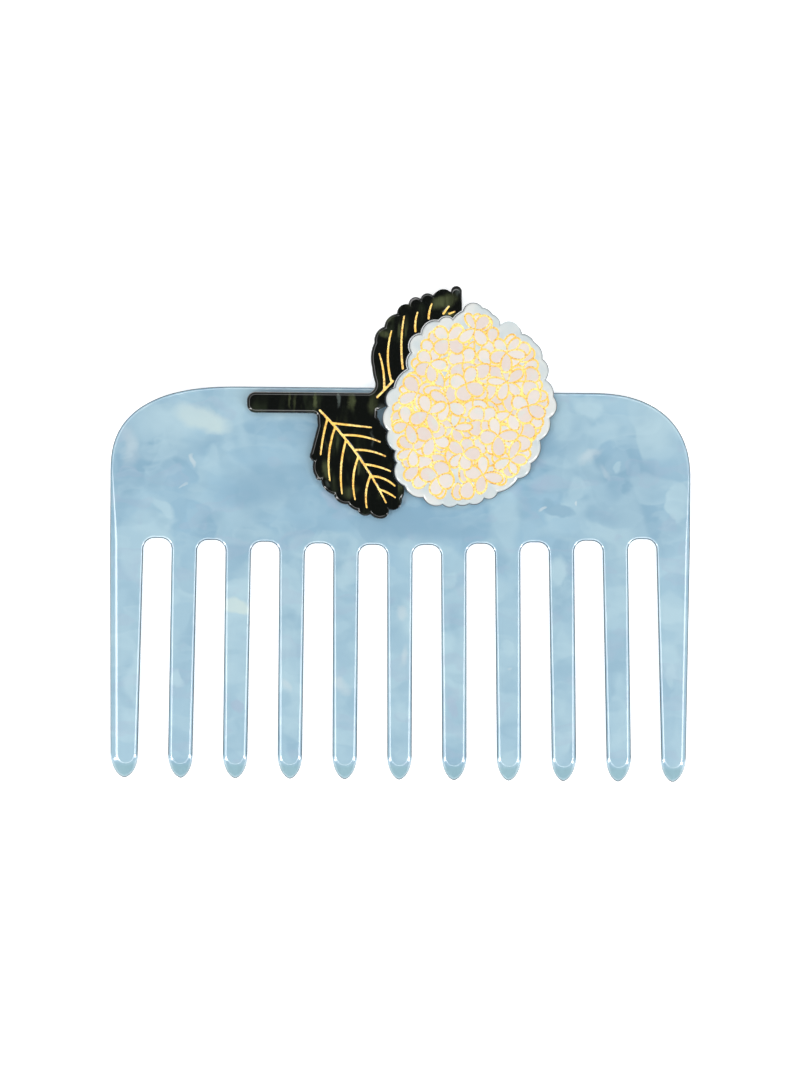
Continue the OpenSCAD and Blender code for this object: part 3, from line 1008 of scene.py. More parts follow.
@dataclass
class Engraving:
    """Flat lid of a plate, cut into faces along its grooves and sunk by them.

    SNAP and ROOM are distances in millimetres, and FULL is the level from which a point counts as unsunk.
    """

    outline: np.ndarray
    grooves: Sequence[Groove]
    SNAP: ClassVar[float] = 1e-5
    FULL: ClassVar[float] = 0.999
    ROOM: ClassVar[float] = 0.01
    LEAST: ClassVar[float] = 1e-12
    points: np.ndarray = field(init=False)
    faces: np.ndarray = field(init=False)
    level: np.ndarray = field(init=False)
    tone: np.ndarray = field(init=False)
    owned: np.ndarray = field(init=False)

    def __post_init__(self) -> None:
        """Cuts the lid, then finds how deep each point lies."""
        corners: list[Vector] = []
        rings: list[list[int]] = []
        for loop in [self.outline, *(loop for groove in self.grooves for loop in groove.loops)]:
            rings.append(list(range(len(corners), len(corners) + len(loop))))
            corners.extend(Vector((p.real, p.imag)) for p in loop)
        found = geometry.delaunay_2d_cdt(corners, [], rings, 1, self.SNAP, False)
        self.points = np.array([complex(*p) for p in found[0]])
        self.faces = np.array([list(face) for face in found[2]], int)
        self.faces = self.faces[inside_loop(self.points[self.faces].mean(axis=1), self.outline)]
        a, b, c = (self.points[self.faces[:, k]] for k in range(3))
        clockwise = ((b - a).conjugate() * (c - a)).imag < 0
        self.faces[clockwise] = self.faces[clockwise][:, ::-1]
        self._sink()

    def _sink(self) -> None:
        """Gives each point its level, with the last groove in front of the others."""
        count = len(self.points)
        self.level, cap = np.ones(count), np.ones(count)
        self.tone, self.owned = np.zeros(count), np.zeros(count)
        free = np.ones(count, bool)
        for groove in reversed(self.grooves):
            from_middle = np.abs(self.points - groove.middle())
            near = np.flatnonzero(free & (from_middle < groove.reach() + self.ROOM))
            if not len(near):
                continue
            spots = self.points[near]
            away = [loop_distance(spots, loop) for loop in groove.loops]
            within = [inside_loop(spots, loop) | (far < self.SNAP) for loop, far in zip(groove.loops, away)]
            settled = within[0].copy()
            self.level[near[settled]] = np.minimum(cap[near[settled]], groove.levels[0])
            last = len(groove.loops) - 2
            for k in range(last + 1):
                band = within[k + 1] & ~within[k]
                share = away[k] / np.maximum(away[k] + away[k + 1], self.LEAST)
                value = groove.levels[k] + (groove.levels[k + 1] - groove.levels[k]) * share
                at = near[band]
                if k == last:
                    cap[at] = np.minimum(cap[at], value[band])
                else:
                    self.level[at] = np.minimum(cap[at], value[band])
                    settled |= band
            self.tone[near[settled]] = groove.tone
            self.owned[near[settled]] = 1.0
            free[near[settled]] = False
        self.level[free] = cap[free]
        self.owned[free & (cap < self.FULL)] = 1.0


def clear_selection() -> None:
    """Leaves nothing selected and no mode open."""
    if bpy.context.object and bpy.context.object.mode != "OBJECT":
        bpy.ops.object.mode_set(mode="OBJECT")
    bpy.ops.object.select_all(action="DESELECT")


def only(piece: bpy.types.Object) -> None:
    """Selects one piece and makes it active.

    Args:
        piece: the piece.
    """
    clear_selection()
    piece.select_set(True)
    bpy.context.view_layer.objects.active = piece


def edit(piece: bpy.types.Object, part: Part) -> None:
    """Opens edit mode on one piece, with nothing selected.

    Args:
        piece: the piece to edit.
        part: what is selected in it from then on.
    """
    only(piece)
    bpy.ops.object.mode_set(mode="EDIT")
    bpy.ops.mesh.select_mode(type=part.value)
    bpy.ops.mesh.select_all(action="DESELECT")


def choose(piece: bpy.types.Object, part: Part, test: Callable[[bpy.types.bpy_struct], bool]) -> None:
    """Opens edit mode with the edges or faces selected that pass a test.

    Args:
        piece: the piece to edit.
        part: edges or faces.
        test: says whether one of them is wanted.
    """
    edit(piece, part)
    bpy.ops.object.mode_set(mode="OBJECT")
    for item in piece.data.edges if part is Part.EDGE else piece.data.polygons:
        item.select = test(item)
    bpy.ops.object.mode_set(mode="EDIT")


def lay_rings(name: str, rings: Sequence[np.ndarray], brink: int) -> bpy.types.Object:
    """Closed solid through rings, made from a cylinder that is cut across and drawn out ring by ring.

    Args:
        name: name of the piece.
        rings: for each level from the lowest up, an array of x, y and z rows in millimetres, anticlockwise.
        brink: level of the widest ring of the front, from which distances in are measured.

    Returns:
        The piece.
    """
    count = len(rings[0])
    clear_selection()
    bpy.ops.mesh.primitive_cylinder_add(vertices=count, radius=1.0, depth=1.0, end_fill_type="NGON")
    piece = bpy.context.object
    piece.name = piece.data.name = name

    def upright(edge: bpy.types.MeshEdge) -> bool:
        """Whether an edge joins the foot of the cylinder to its top."""
        foot, head = (piece.data.vertices[i].co.z for i in edge.vertices)
        return foot != head

    choose(piece, Part.EDGE, upright)
    bpy.ops.mesh.subdivide_edgering(number_cuts=len(rings) - 2, interpolation="LINEAR")
    bpy.ops.object.mode_set(mode="OBJECT")
    at = read_points(piece)
    level = np.rint((at[:, 2] - at[:, 2].min()) * (len(rings) - 1)).astype(int)
    turn = (math.pi / 2 - np.arctan2(at[:, 1], at[:, 0])) * count / (2 * math.pi)
    step = (-np.rint(turn).astype(int)) % count
    stack = np.array(rings)
    write_points(piece, stack[level, step])
    # Distances in from the front's widest ring place the painted shade line along the brink of the face; the
    # rings behind it get FAR, so no shade.
    away = np.hypot(*np.moveaxis(stack[..., :2] - stack[brink, :, :2], -1, 0))
    away[:brink] = FAR
    carry(piece, edge_away=away[level, step])
    return piece


def read_points(piece: bpy.types.Object) -> np.ndarray:
    """Reads a mesh's points.

    Args:
        piece: the piece.

    Returns:
        Rows of x, y and z, as they are stored.
    """
    at = np.empty(len(piece.data.vertices) * 3)
    piece.data.vertices.foreach_get("co", at)
    return at.reshape(-1, 3)


def write_points(piece: bpy.types.Object, at: np.ndarray) -> None:
    """Places a mesh's points.

    Args:
        piece: the piece.
        at: rows of x, y and z in millimetres.
    """
    piece.data.vertices.foreach_set("co", (at * MM).ravel())
    piece.data.update()


def carry(piece: bpy.types.Object, **numbers: np.ndarray) -> None:
    """Stores numbers on the points of a mesh, for its material to read.

    Args:
        piece: the piece.
        numbers: for each name, one number a point.
    """
    for name, given in numbers.items():
        stored = piece.data.attributes.new(name, "FLOAT", "POINT")
        stored.data.foreach_set("value", given.astype(np.float32))


def smooth(piece: bpy.types.Object) -> None:
    """Shades a piece smooth, with its large flat faces kept flat.

    Args:
        piece: the piece.
    """
    only(piece)
    bpy.ops.object.shade_smooth()
    settled = piece.modifiers.new("flats", "WEIGHTED_NORMAL")
    settled.mode = "FACE_AREA"
    settled.weight = SHADING_WEIGHT
    settled.keep_sharp = True
    bpy.ops.object.modifier_apply(modifier=settled.name)


def dress(piece: bpy.types.Object, material: bpy.types.Material, node: str) -> None:
    """Gives a piece its material and tells the frame what it stands for.

    Args:
        piece: the finished piece.
        material: its material.
        node: the CAD node that it replaces.
    """
    piece.data.materials.clear()
    piece.data.materials.append(material)
    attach(piece, "root")
    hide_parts(node)
    log.info("%s: %d points, %d faces", piece.name, len(piece.data.vertices), len(piece.data.polygons))


@dataclass(frozen=True)
class EdgeStep:
    """How far one ring of an edge lies in and below the face, as shares of its rounding.

    A tooth's tip is chamfered with a soft shoulder, and every other edge is round.
    """

    turn: float
    TIP: ClassVar[tuple[Span, ...]] = (
        (0, 1),
        (0.25, 0.735),
        (0.5, 0.47),
        (0.7, 0.258),
        (0.84, 0.11),
        (0.93, 0.03),
        (1, 0),
    )

    @property
    def round_in(self) -> float:
        """Share in of a round edge."""
        return 1 - math.cos(math.radians(90 * self.turn))

    @property
    def round_drop(self) -> float:
        """Share below the face of a round edge."""
        return 1 - math.sin(math.radians(90 * self.turn))

    def _tip(self, k: int) -> float:
        """Reads the chamfer's table."""
        return float(np.interp(self.turn, np.linspace(0, 1, len(self.TIP)), [row[k] for row in self.TIP]))

    @property
    def tip_in(self) -> float:
        """Share in of a tip."""
        return self._tip(0)

    @property
    def tip_drop(self) -> float:
        """Share below the face of a tip."""
        return self._tip(1)


@dataclass
class CombPlate:
    """The comb itself: spine, slots and tapering teeth, rounded along every edge."""

    width: float = 102.0
    height: float = 68.4
    thick: float = 4.0
    spine_height: float = 27.1
    root_bow: float = 1.2
    root_tilt: float = 0.55
    left_corner: Triple = (23.2, 15.1, 2.55)
    right_corner: Triple = (17.6, 15.5, 2.4)
    top_lift: float = 0.6
    top_lift_from: float = 20.0
    top_lift_to: float = 0.0
    side_lean: float = 0.4
    left_side_round: float = 1.4
    right_side_round: float = 0.85
    corner_round: float = 0.45
    tooth_count: int = 11
    outer_tooth_root: float = 5.9
    outer_tooth_tip: float = 4.8
    slot_root_width: float = 5.0
    slot_tip_width: float = 5.35
    slot_corner: float = 1.9
    root_round: float = 0.42
    dome: float = 0.5
    tip_drift: float = 0.5
    slot_round: float = 0.72
    tip_length: float = 4.3
    tip_round: float = 1.7
    tip_slope: float = 2.7
    tip_power: float = 1.2
    shoulder_power: float = 0.85
    bow_power: float = 1.2
    round_steps: int = 6
    tip_steps: int = 10
    root_steps: int = 8
    corner_steps: int = 28

    def __post_init__(self) -> None:
        """Finds the places that follow from the sizes."""
        low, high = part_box("comb_plate")
        self.tip_y = low.y / MM
        self.top_y = high.y / MM
        self.slots = self.tooth_count - 1
        self.root_y = self.top_y - self.spine_height
        self.taper_y = self.tip_y + self.tip_length
        self.root_pitch = (self.width - 2 * self.outer_tooth_root - self.slot_root_width) / (self.slots - 1)
        span = self.width - 2 * self.side_lean - 2 * self.outer_tooth_tip - self.slot_tip_width
        self.tip_pitch = span / (self.slots - 1)

    def down(self, y: float) -> float:
        """Share of the way from the slot roots to where the tips begin."""
        return (self.root_y - y) / (self.root_y - self.taper_y)

    def slot_x(self, i: int, y: float) -> float:
        """Middle of a slot."""
        pitch = self.root_pitch + (self.tip_pitch - self.root_pitch) * self.down(y)
        return (i - (self.slots - 1) / 2) * pitch + self.tip_drift * self.down(y) * i / (self.slots - 1)

    def slot_half(self, y: float) -> float:
        """Half the width of a slot."""
        return (self.slot_root_width + (self.slot_tip_width - self.slot_root_width) * self.down(y)) / 2

    def slot_top(self, i: int) -> float:
        """Height of a slot's root."""
        share = (i - (self.slots - 1) / 2) / ((self.slots - 1) / 2)
        return self.root_y + self.root_bow * abs(share) ** self.bow_power + self.root_tilt * share / 2

    def side_x(self, y: float) -> float:
        """Half the width of the comb."""
        return self.width / 2 - self.side_lean * max(0.0, self.down(y))

    def slot_root(self, i: int, step: EdgeStep) -> list[Triple]:
        """Outline around the top of a slot.

        Args:
            i: number of the slot, from the left.
            step: how far in and down the outline lies.

        Returns:
            Rows of x, y and drop below the face.
        """
        y = self.slot_top(i) - self.slot_corner
        reach = self.slot_half(y) - self.slot_corner
        radius = self.slot_corner + step.round_in * self.root_round
        rows = []
        for side in (-1, 1):
            for k in range(self.root_steps + 1):
                angle = math.radians((180 if side < 0 else 90) - 90 * k / self.root_steps)
                x = self.slot_x(i, y) + side * reach + radius * math.cos(angle)
                rows.append((x, y + radius * math.sin(angle), self.root_round * self.dome * step.round_drop))
        return rows

    def tooth_tip(self, i: int, step: EdgeStep) -> list[Triple]:
        """Outline around the end of a tooth.

        Args:
            i: number of the tooth, from the left.
            step: how far in and down the outline lies.

        Returns:
            Rows of x, y and drop below the face.
        """
        first, final = i == 0, i == self.tooth_count - 1
        left_round = self.left_side_round if first else self.slot_round
        right_round = self.right_side_round if final else self.slot_round
        y = self.taper_y
        left = -self.side_x(y) if first else self.slot_x(i - 1, y) + self.slot_half(y)
        right = self.side_x(y) if final else self.slot_x(i, y) - self.slot_half(y)
        middle = (left + right + step.round_in * (left_round - right_round)) / 2
        half = (right - left - step.round_in * (left_round + right_round)) / 2
        reach = self.tip_length - step.tip_in * self.tip_slope
        power = self.tip_power + (self.shoulder_power - self.tip_power) * step.tip_in
        rows = []
        for k in range(-self.tip_steps, self.tip_steps + 1):
            angle = math.radians(90 - 90 * abs(k) / self.tip_steps)
            side_drop = (left_round if k < 0 else right_round) * self.dome * step.round_drop
            drop = side_drop + (self.tip_round * step.tip_drop - side_drop) * math.sin(angle)
            x = middle + math.copysign(1, k) * half * max(0.0, math.cos(angle)) ** power
            rows.append((x, y - reach * math.sin(angle), drop))
        return rows

    def upper_corner(self, side: int, step: EdgeStep) -> list[Triple]:
        """Outline around an upper corner.

        Args:
            side: one for the right corner and minus one for the left.
            step: how far in and down the outline lies.

        Returns:
            Rows of x, y and drop below the face.
        """
        width, height, power = self.right_corner if side > 0 else self.left_corner
        wide = width - step.round_in * self.corner_round
        high = height - step.round_in * self.corner_round
        foot = self.top_y - height + (self.top_lift if side < 0 else 0)
        drop = self.corner_round * step.round_drop
        rows = []
        for k in range(self.corner_steps + 1):
            angle = math.radians(90 * (k if side > 0 else self.corner_steps - k) / self.corner_steps)
            x = self.width / 2 - width + wide * max(0.0, math.cos(angle)) ** (2 / power)
            rows.append((side * x, foot + high * math.sin(angle) ** (2 / power), drop))
        return rows

    def side_row(self, side: int, around: float, step: EdgeStep) -> Triple:
        """Row where a side reaches the slot roots."""
        x = side * (self.side_x(self.root_y) - step.round_in * around)
        return x, self.root_y, around * self.dome * step.round_drop

    def outline(self, step: EdgeStep) -> np.ndarray:
        """Outline at one step of its rounding.

        Args:
            step: how far in and down the outline lies.

        Returns:
            Rows of x, y and drop below the face, anticlockwise.
        """
        rows: list[Triple] = []
        for i in range(self.slots):
            rows += self.tooth_tip(i, step) + self.slot_root(i, step)
        rows += self.tooth_tip(self.slots, step)
        drop = self.corner_round * step.round_drop
        top = self.top_y - self.corner_round * step.round_in
        rows.append(self.side_row(1, self.right_side_round, step))
        rows += self.upper_corner(1, step)
        rows += [(self.top_lift_from, top, drop), (self.top_lift_to, top + self.top_lift, drop)]
        rows += self.upper_corner(-1, step)
        rows.append(self.side_row(-1, self.left_side_round, step))
        return np.array(rows)

    def build(self) -> bpy.types.Object:
        """Models the comb.

        Returns:
            The comb.
        """
        steps = [EdgeStep(k / self.round_steps) for k in range(self.round_steps + 1)]
        rings = [self.outline(step) for step in steps[::-1]]
        for step in steps:
            ring = self.outline(step)
            ring[:, 2] = self.thick - ring[:, 2]
            rings.append(ring)
        piece = lay_rings("marbled_comb", rings, len(steps))
        smooth(piece)
        return piece

    def dress(self, piece: bpy.types.Object) -> None:
        """Finishes the comb."""
        dress(piece, BlueAcetate().material(), "comb_plate")


@dataclass
class Plaque:
    """Flat-backed piece of sheet that is glued on the comb, with gilt engraving in its face.

    The constants tell its faces apart: FACE_UP is the least upward share of a normal, and SAME_HEIGHT and
    SUNK are heights in metres.
    """

    name: str
    node: str
    sheet: GreenAcetate | PearlAcetate
    slot: Slot
    gilt_name: str
    gilt_node: str
    edge_round: float = 0.5
    round_steps: int = 6
    bed: float = 0.08
    depth: float = 0.08
    fill: float = 0.3
    crown: float = 0.3
    margin: float = 0.06
    gilt_body: float = 0.9
    weld: float = 0.002
    FACE_UP: ClassVar[float] = 0.99
    SAME_HEIGHT: ClassVar[float] = 1e-6
    SUNK: ClassVar[float] = 1e-7

    def __post_init__(self) -> None:
        """Finds the piece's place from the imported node's box."""
        low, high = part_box(self.node)
        self.back_z = low.z / MM
        self.front_z = high.z / MM
        self.lid = self.drawn_in(self.edge_round)

    def outline(self) -> ArcLoop:
        """Outline of the piece."""
        raise NotImplementedError

    def rounding(self, around: np.ndarray) -> np.ndarray:
        """Share of the full rounding that the edge has at each point of the outline."""
        return np.ones(len(around))

    def drawn_in(self, depth: float) -> np.ndarray:
        """Outline, drawn in where its edge is rounded.

        Args:
            depth: distance in where the edge is fully rounded.

        Returns:
            The points around it as complex numbers.
        """
        edge = self.outline()
        outer = edge.points()
        return outer + (edge.inset(depth).points(edge) - outer) * self.rounding(outer) + self.centre()

    def fits(self, loop: np.ndarray) -> bool:
        """Whether a closed loop lies on the flat of the lid, clear of its border."""
        apart = loop_distance(self.lid, loop) > self.margin
        return bool(self.clear(loop).all() and apart.all() and not inside_loop(self.lid, loop).any())

    def clear(self, points: np.ndarray, room: float = 0.0) -> np.ndarray:
        """Which points lie on the flat of the lid with room around them."""
        return inside_loop(points, self.lid) & (loop_distance(points, self.lid) > self.margin + room)

    def grooves(self) -> list[Groove]:
        """Grooves in its face, the one in front last."""
        raise NotImplementedError

    def centre(self) -> complex:
        """Where the tables' origin lies."""
        raise NotImplementedError

    def build(self) -> tuple[bpy.types.Object, bpy.types.Object]:
        """Models the plate and the gold in its grooves.

        Returns:
            The plate and the gold.
        """
        rings = [self._ring(0, self.back_z - self.bed)]
        for step in range(self.round_steps + 1):
            angle = math.radians(90 * step / self.round_steps)
            z = self.front_z - self.edge_round * (1 - math.sin(angle))
            rings.append(self._ring(self.edge_round * (1 - math.cos(angle)), z))
        plate = lay_rings(self.name, rings, 1)
        top = self.front_z * MM

        def on_top(face: bpy.types.MeshPolygon) -> bool:
            """Whether a face is the flat front that the engraved lid takes the place of."""
            return face.normal.z > self.FACE_UP and abs(face.center.z - top) < self.SAME_HEIGHT

        choose(plate, Part.FACE, on_top)
        bpy.ops.mesh.delete(type="ONLY_FACE")
        cut = Engraving(self.lid, self.grooves())
        lid = self._sheet(self.name + "_lid", cut, cut.faces, self.front_z - self.depth * (1 - cut.level))
        choose(lid, Part.FACE, lambda face: face.center.z < top - self.SUNK)
        bpy.ops.mesh.region_to_loop()
        bpy.ops.mesh.mark_sharp()
        only(plate)
        lid.select_set(True)
        bare = np.zeros(len(plate.data.vertices))
        carry(plate, petal_tone=bare, in_petals=bare)
        carry(lid, petal_tone=cut.tone, in_petals=cut.owned, edge_away=np.full(len(cut.points), FAR))
        bpy.ops.object.join()
        edit(plate, Part.POINT)
        bpy.ops.mesh.select_non_manifold()
        bpy.ops.mesh.remove_doubles(threshold=self.weld * MM)
        bpy.ops.mesh.mark_sharp()
        bpy.ops.object.mode_set(mode="OBJECT")
        smooth(plate)
        return plate, self._gold(cut)

    def _ring(self, depth: float, z: float) -> np.ndarray:
        """Rows of x, y and z around the outline."""
        around = self.drawn_in(depth)
        return np.stack([around.real, around.imag, np.full(len(around), z)], axis=1)

    def _sheet(self, name: str, cut: Engraving, faces: np.ndarray, z: np.ndarray) -> bpy.types.Object:
        """Makes an open sheet of some of the lid's faces.

        Args:
            name: name of the piece.
            cut: the engraved lid.
            faces: the faces to take.
            z: height of each point.

        Returns:
            The sheet.
        """
        mesh = bpy.data.meshes.new(name)
        at = np.stack([cut.points.real, cut.points.imag, z], axis=1) * MM
        mesh.from_pydata(at.tolist(), [], faces.tolist())
        piece = bpy.data.objects.new(name, mesh)
        bpy.context.scene.collection.objects.link(piece)
        return piece

    def _gold(self, cut: Engraving) -> bpy.types.Object:
        """Fills the grooves.

        Args:
            cut: the engraved lid.

        Returns:
            The gold.
        """
        sunk = cut.faces[(cut.level[cut.faces] < cut.FULL).any(axis=1)]
        floor = self.front_z - self.depth
        z = floor + self.depth * (self.fill + self.crown * (1 - cut.level))
        gold = self._sheet(self.gilt_name, cut, sunk, z)
        # The level tells the gilding where to paint shade against the groove walls.
        carry(gold, groove_edge=cut.level)
        edit(gold, Part.POINT)
        bpy.ops.mesh.select_all(action="SELECT")
        bpy.ops.mesh.delete_loose()
        bpy.ops.mesh.select_all(action="SELECT")
        drop = -self.depth * self.fill * self.gilt_body * MM
        bpy.ops.mesh.extrude_region_move(TRANSFORM_OT_translate={"value": (0, 0, drop)})
        bpy.ops.mesh.select_all(action="SELECT")
        bpy.ops.mesh.normals_make_consistent(inside=False)
        bpy.ops.object.mode_set(mode="OBJECT")
        smooth(gold)
        return gold

    def dress(self, plate: bpy.types.Object, gold: bpy.types.Object, gilding: bpy.types.Material) -> None:
        """Finishes the plate and its gold."""
        dress(plate, self.sheet.material(), self.node)
        dress(gold, gilding, self.gilt_node)


WOBBLE_TURNS = (97, 131)


def wobble(i: float, k: float) -> float:
    """Uneven but fixed number from minus one to one."""
    return math.sin(math.radians(i * WOBBLE_TURNS[0] + k * WOBBLE_TURNS[1]))


# Angle, distance from the flower's centre and bulge of each scallop of the rim.
SCALLOPS: tuple[Triple, ...] = (
    (6, 14.7, 0.5),
    (19, 13.9, 0.8),
    (33, 15, 0.5),
    (45, 15.7, 0.35),
    (54.5, 15.4, 1.15),
    (70, 15, 0.35),
    (76.5, 16.3, 0.25),
    (83.5, 17.2, 1.15),
    (95, 16.5, 0.15),
    (102, 15.3, 0.6),
    (111, 15.7, 0.9),
    (125, 15.1, 1.15),
    (139, 13.8, 0.5),
    (150.5, 12.5, 0.5),
    (167.5, 13.6, 0.9),
    (181.5, 14.5, 0.95),
    (198, 15.1, 0.8),
    (212, 15.4, 0.35),
    (218.5, 16.4, 1.05),
    (231.5, 18.3, 0.7),
    (243.5, 18.2, 0.8),
    (255, 18.1, 0.5),
    (263, 17.6, 0.3),
    (270, 17.3, 0.6),
    (279, 16.5, 0.6),
    (288, 16.1, 0.5),
    (303.5, 15.4, 0.8),
    (316.5, 14.8, 0.8),
    (333.5, 13.7, 0.8),
    (351, 14.1, 0.9),
)
FLOWER_RIGHT = 12.1
FLOWER_DROP = 2.4


def scallop_loop() -> ArcLoop:
    """Outline of the flower around its own centre.

    Returns:
        The outline.
    """
    rows = []
    for angle, radius, bulge in SCALLOPS:
        cusp = radius * polar(angle)
        rows.append((cusp.real, cusp.imag, bulge))
    return ArcLoop.of(rows)


def flower_centre() -> complex:
    """Where the flower's centre lies on the comb."""
    _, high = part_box("comb_plate")
    return complex(FLOWER_RIGHT, high.y / MM - FLOWER_DROP)


@dataclass
class FlowerHead(Plaque):
    """Pearly flower with a scalloped rim and a ground of small overlapping florets."""

    name: str = "pearl_flower"
    node: str = "flower_head"
    sheet: PearlAcetate = PearlAcetate()
    slot: Slot = Slot.PEARL_ACETATE
    gilt_name: str = "gilt_florets"
    gilt_node: str = "floret_lines"
    line_floor: float = 0.22
    line_slope: float = 0.12
    floret_rim: float = 3.9
    plain_rim: float = 0.85
    half_length: float = 1.62
    half_width: float = 1.08
    least_length: float = 0.7
    shrink: float = 0.96
    foot_point: float = 0.24
    petal_steps: int = 22
    rings: tuple[tuple[float, int], ...] = ((1, 13), (0.66, 9), (0.34, 5), (0.05, 1))
    ground_pitch: float = 2.8
    ground_rim: float = 3.3
    ground_turn: float = 137.5
    rim_petals: int = 36
    petal_counts: tuple[int, ...] = (4, 5, 4)
    wide_turn: float = 82.0
    shuffle: int = 11
    angle_wobble: float = 0.15
    place_wobble: float = 0.4
    length_wobble: float = 0.07
    width_wobble: float = 0.14
    rim_turn_wobble: float = 15.0
    floret_turn_wobble: float = 75.0
    petal_turn_wobble: float = 7.0

    def centre(self) -> complex:
        """Centre of the flower."""
        return flower_centre()

    def outline(self) -> ArcLoop:
        """Scalloped outline."""
        return scallop_loop()

    def rim_radius(self, degrees: float) -> float:
        """Distance from the centre to the rim's cusps at an angle."""
        return float(np.interp(degrees, [s[0] for s in SCALLOPS], [s[1] for s in SCALLOPS], period=360))

    def fitted(self, foot: complex, heading: float, length: float, width: float, tone: float) -> Groove:
        """One petal's line, made smaller until it lies clear of the edge.

        Args:
            foot: the end at the floret's middle.
            heading: angle that it points in, in degrees.
            length: half its length.
            width: half its width.
            tone: number for its colour.

        Returns:
            The groove.
        """
        found = self.petal(foot, heading, length, width, tone)
        while not self.fits(found.loops[-1]) and length > self.least_length:
            length, width = length * self.shrink, width * self.shrink
            found = self.petal(foot, heading, length, width, tone)
        return found

    def petal(self, foot: complex, heading: float, length: float, width: float, tone: float) -> Groove:
        """One petal's line, egg-shaped and pointing away from its foot.

        Args:
            foot: the end at the floret's middle.
            heading: angle that it points in, in degrees.
            length: half its length.
            width: half its width.
            tone: number for its colour.

        Returns:
            The groove.
        """
        turn = np.linspace(0, 2 * math.pi, self.petal_steps, endpoint=False)
        way = polar(heading)
        middle = self.centre() + foot + length * way
        half = self.line_floor / 2
        spread = np.sin(turn) * ((1 + np.cos(turn)) / 2) ** self.foot_point
        spread /= np.abs(spread).max()
        loops = []
        for grow in (-half - self.line_slope, -half, half, half + self.line_slope):
            loops.append(middle + ((length + grow) * np.cos(turn) + 1j * (width + grow) * spread) * way)
        return Groove(tuple(loops), (1.0, 0.0, 0.0, 1.0), tone)

    def size_of(self, i: float, k: float) -> tuple[float, float]:
        """Half the length and half the width of one petal, unevenly."""
        length = self.half_length * (1 + self.length_wobble * (wobble(i, 2) + wobble(k, i)))
        return length, self.half_width * (1 + self.width_wobble * (wobble(i + 4, 3) + wobble(k + 5, i)))

    def tone_of(self, i: float, k: float) -> float:
        """Number from nought to one for one petal's colour."""
        return 0.5 + 0.5 * wobble(i, k)

    def grooves(self) -> list[Groove]:
        """Petals of the ground and the rim, then those of the florets, the ones in front last.

        Returns:
            The grooves.
        """
        found = []
        for rank, place in enumerate(self.ground_places()):
            heading = self.ground_turn * rank
            length, width = self.size_of(rank, 3)
            foot = place - length * polar(heading)
            found.append(self.fitted(foot, heading, length, width, self.tone_of(rank, 5)))
        for k in range(self.rim_petals):
            angle = 360 * (k + self.angle_wobble * wobble(k, 9)) / self.rim_petals
            length, width = self.size_of(k, 4)
            reach = self.rim_radius(angle % 360) - self.plain_rim - 2 * length
            heading = angle + self.rim_turn_wobble * wobble(k, 1)
            found.append(self.fitted(reach * polar(angle), heading, length, width, self.tone_of(k, 6)))
        places = self.floret_places()
        for rank in range(len(places)):
            i = (rank * self.shuffle) % len(places)
            petals = self.petal_counts[i % len(self.petal_counts)]
            turn = 360 / petals
            for k in range(petals):
                heading = self.floret_turn_wobble * wobble(i, 3) + turn * k
                heading += self.petal_turn_wobble * wobble(i, k + 4)
                length, width = self.size_of(i, k)
                width = width * turn / self.wide_turn
                found.append(self.fitted(places[i], heading, length, width, self.tone_of(k, i + 6)))
        return found

    def ground_places(self) -> list[complex]:
        """Lays out the loose petals that fill the ground behind the florets, in staggered rows.

        Returns:
            The middles of the petals.
        """
        places = []
        row_height = math.sqrt(0.75)
        rows = int(max(row[1] for row in SCALLOPS) / self.ground_pitch) + 1
        for j in range(-rows, rows + 1):
            for i in range(-rows, rows + 1):
                jog = complex(wobble(i + 9, j), wobble(j, i + 5)) * self.place_wobble
                place = self.ground_pitch * complex(i + (j % 2) / 2, j * row_height) + jog
                angle = math.degrees(math.atan2(place.imag, place.real))
                if abs(place) < self.rim_radius(angle % 360) - self.ground_rim:
                    places.append(place)
        return places

    def floret_places(self) -> list[complex]:
        """Lays out the florets in rings around the flower's centre.

        Returns:
            The middles of the florets.
        """
        places = []
        for share, count in self.rings:
            for k in range(count):
                angle = 360 / count * (k + share + self.angle_wobble * wobble(k, count))
                reach = share * (self.rim_radius(angle % 360) - self.floret_rim)
                reach += self.place_wobble * wobble(k + 3, count)
                places.append(reach * polar(angle))
        return places


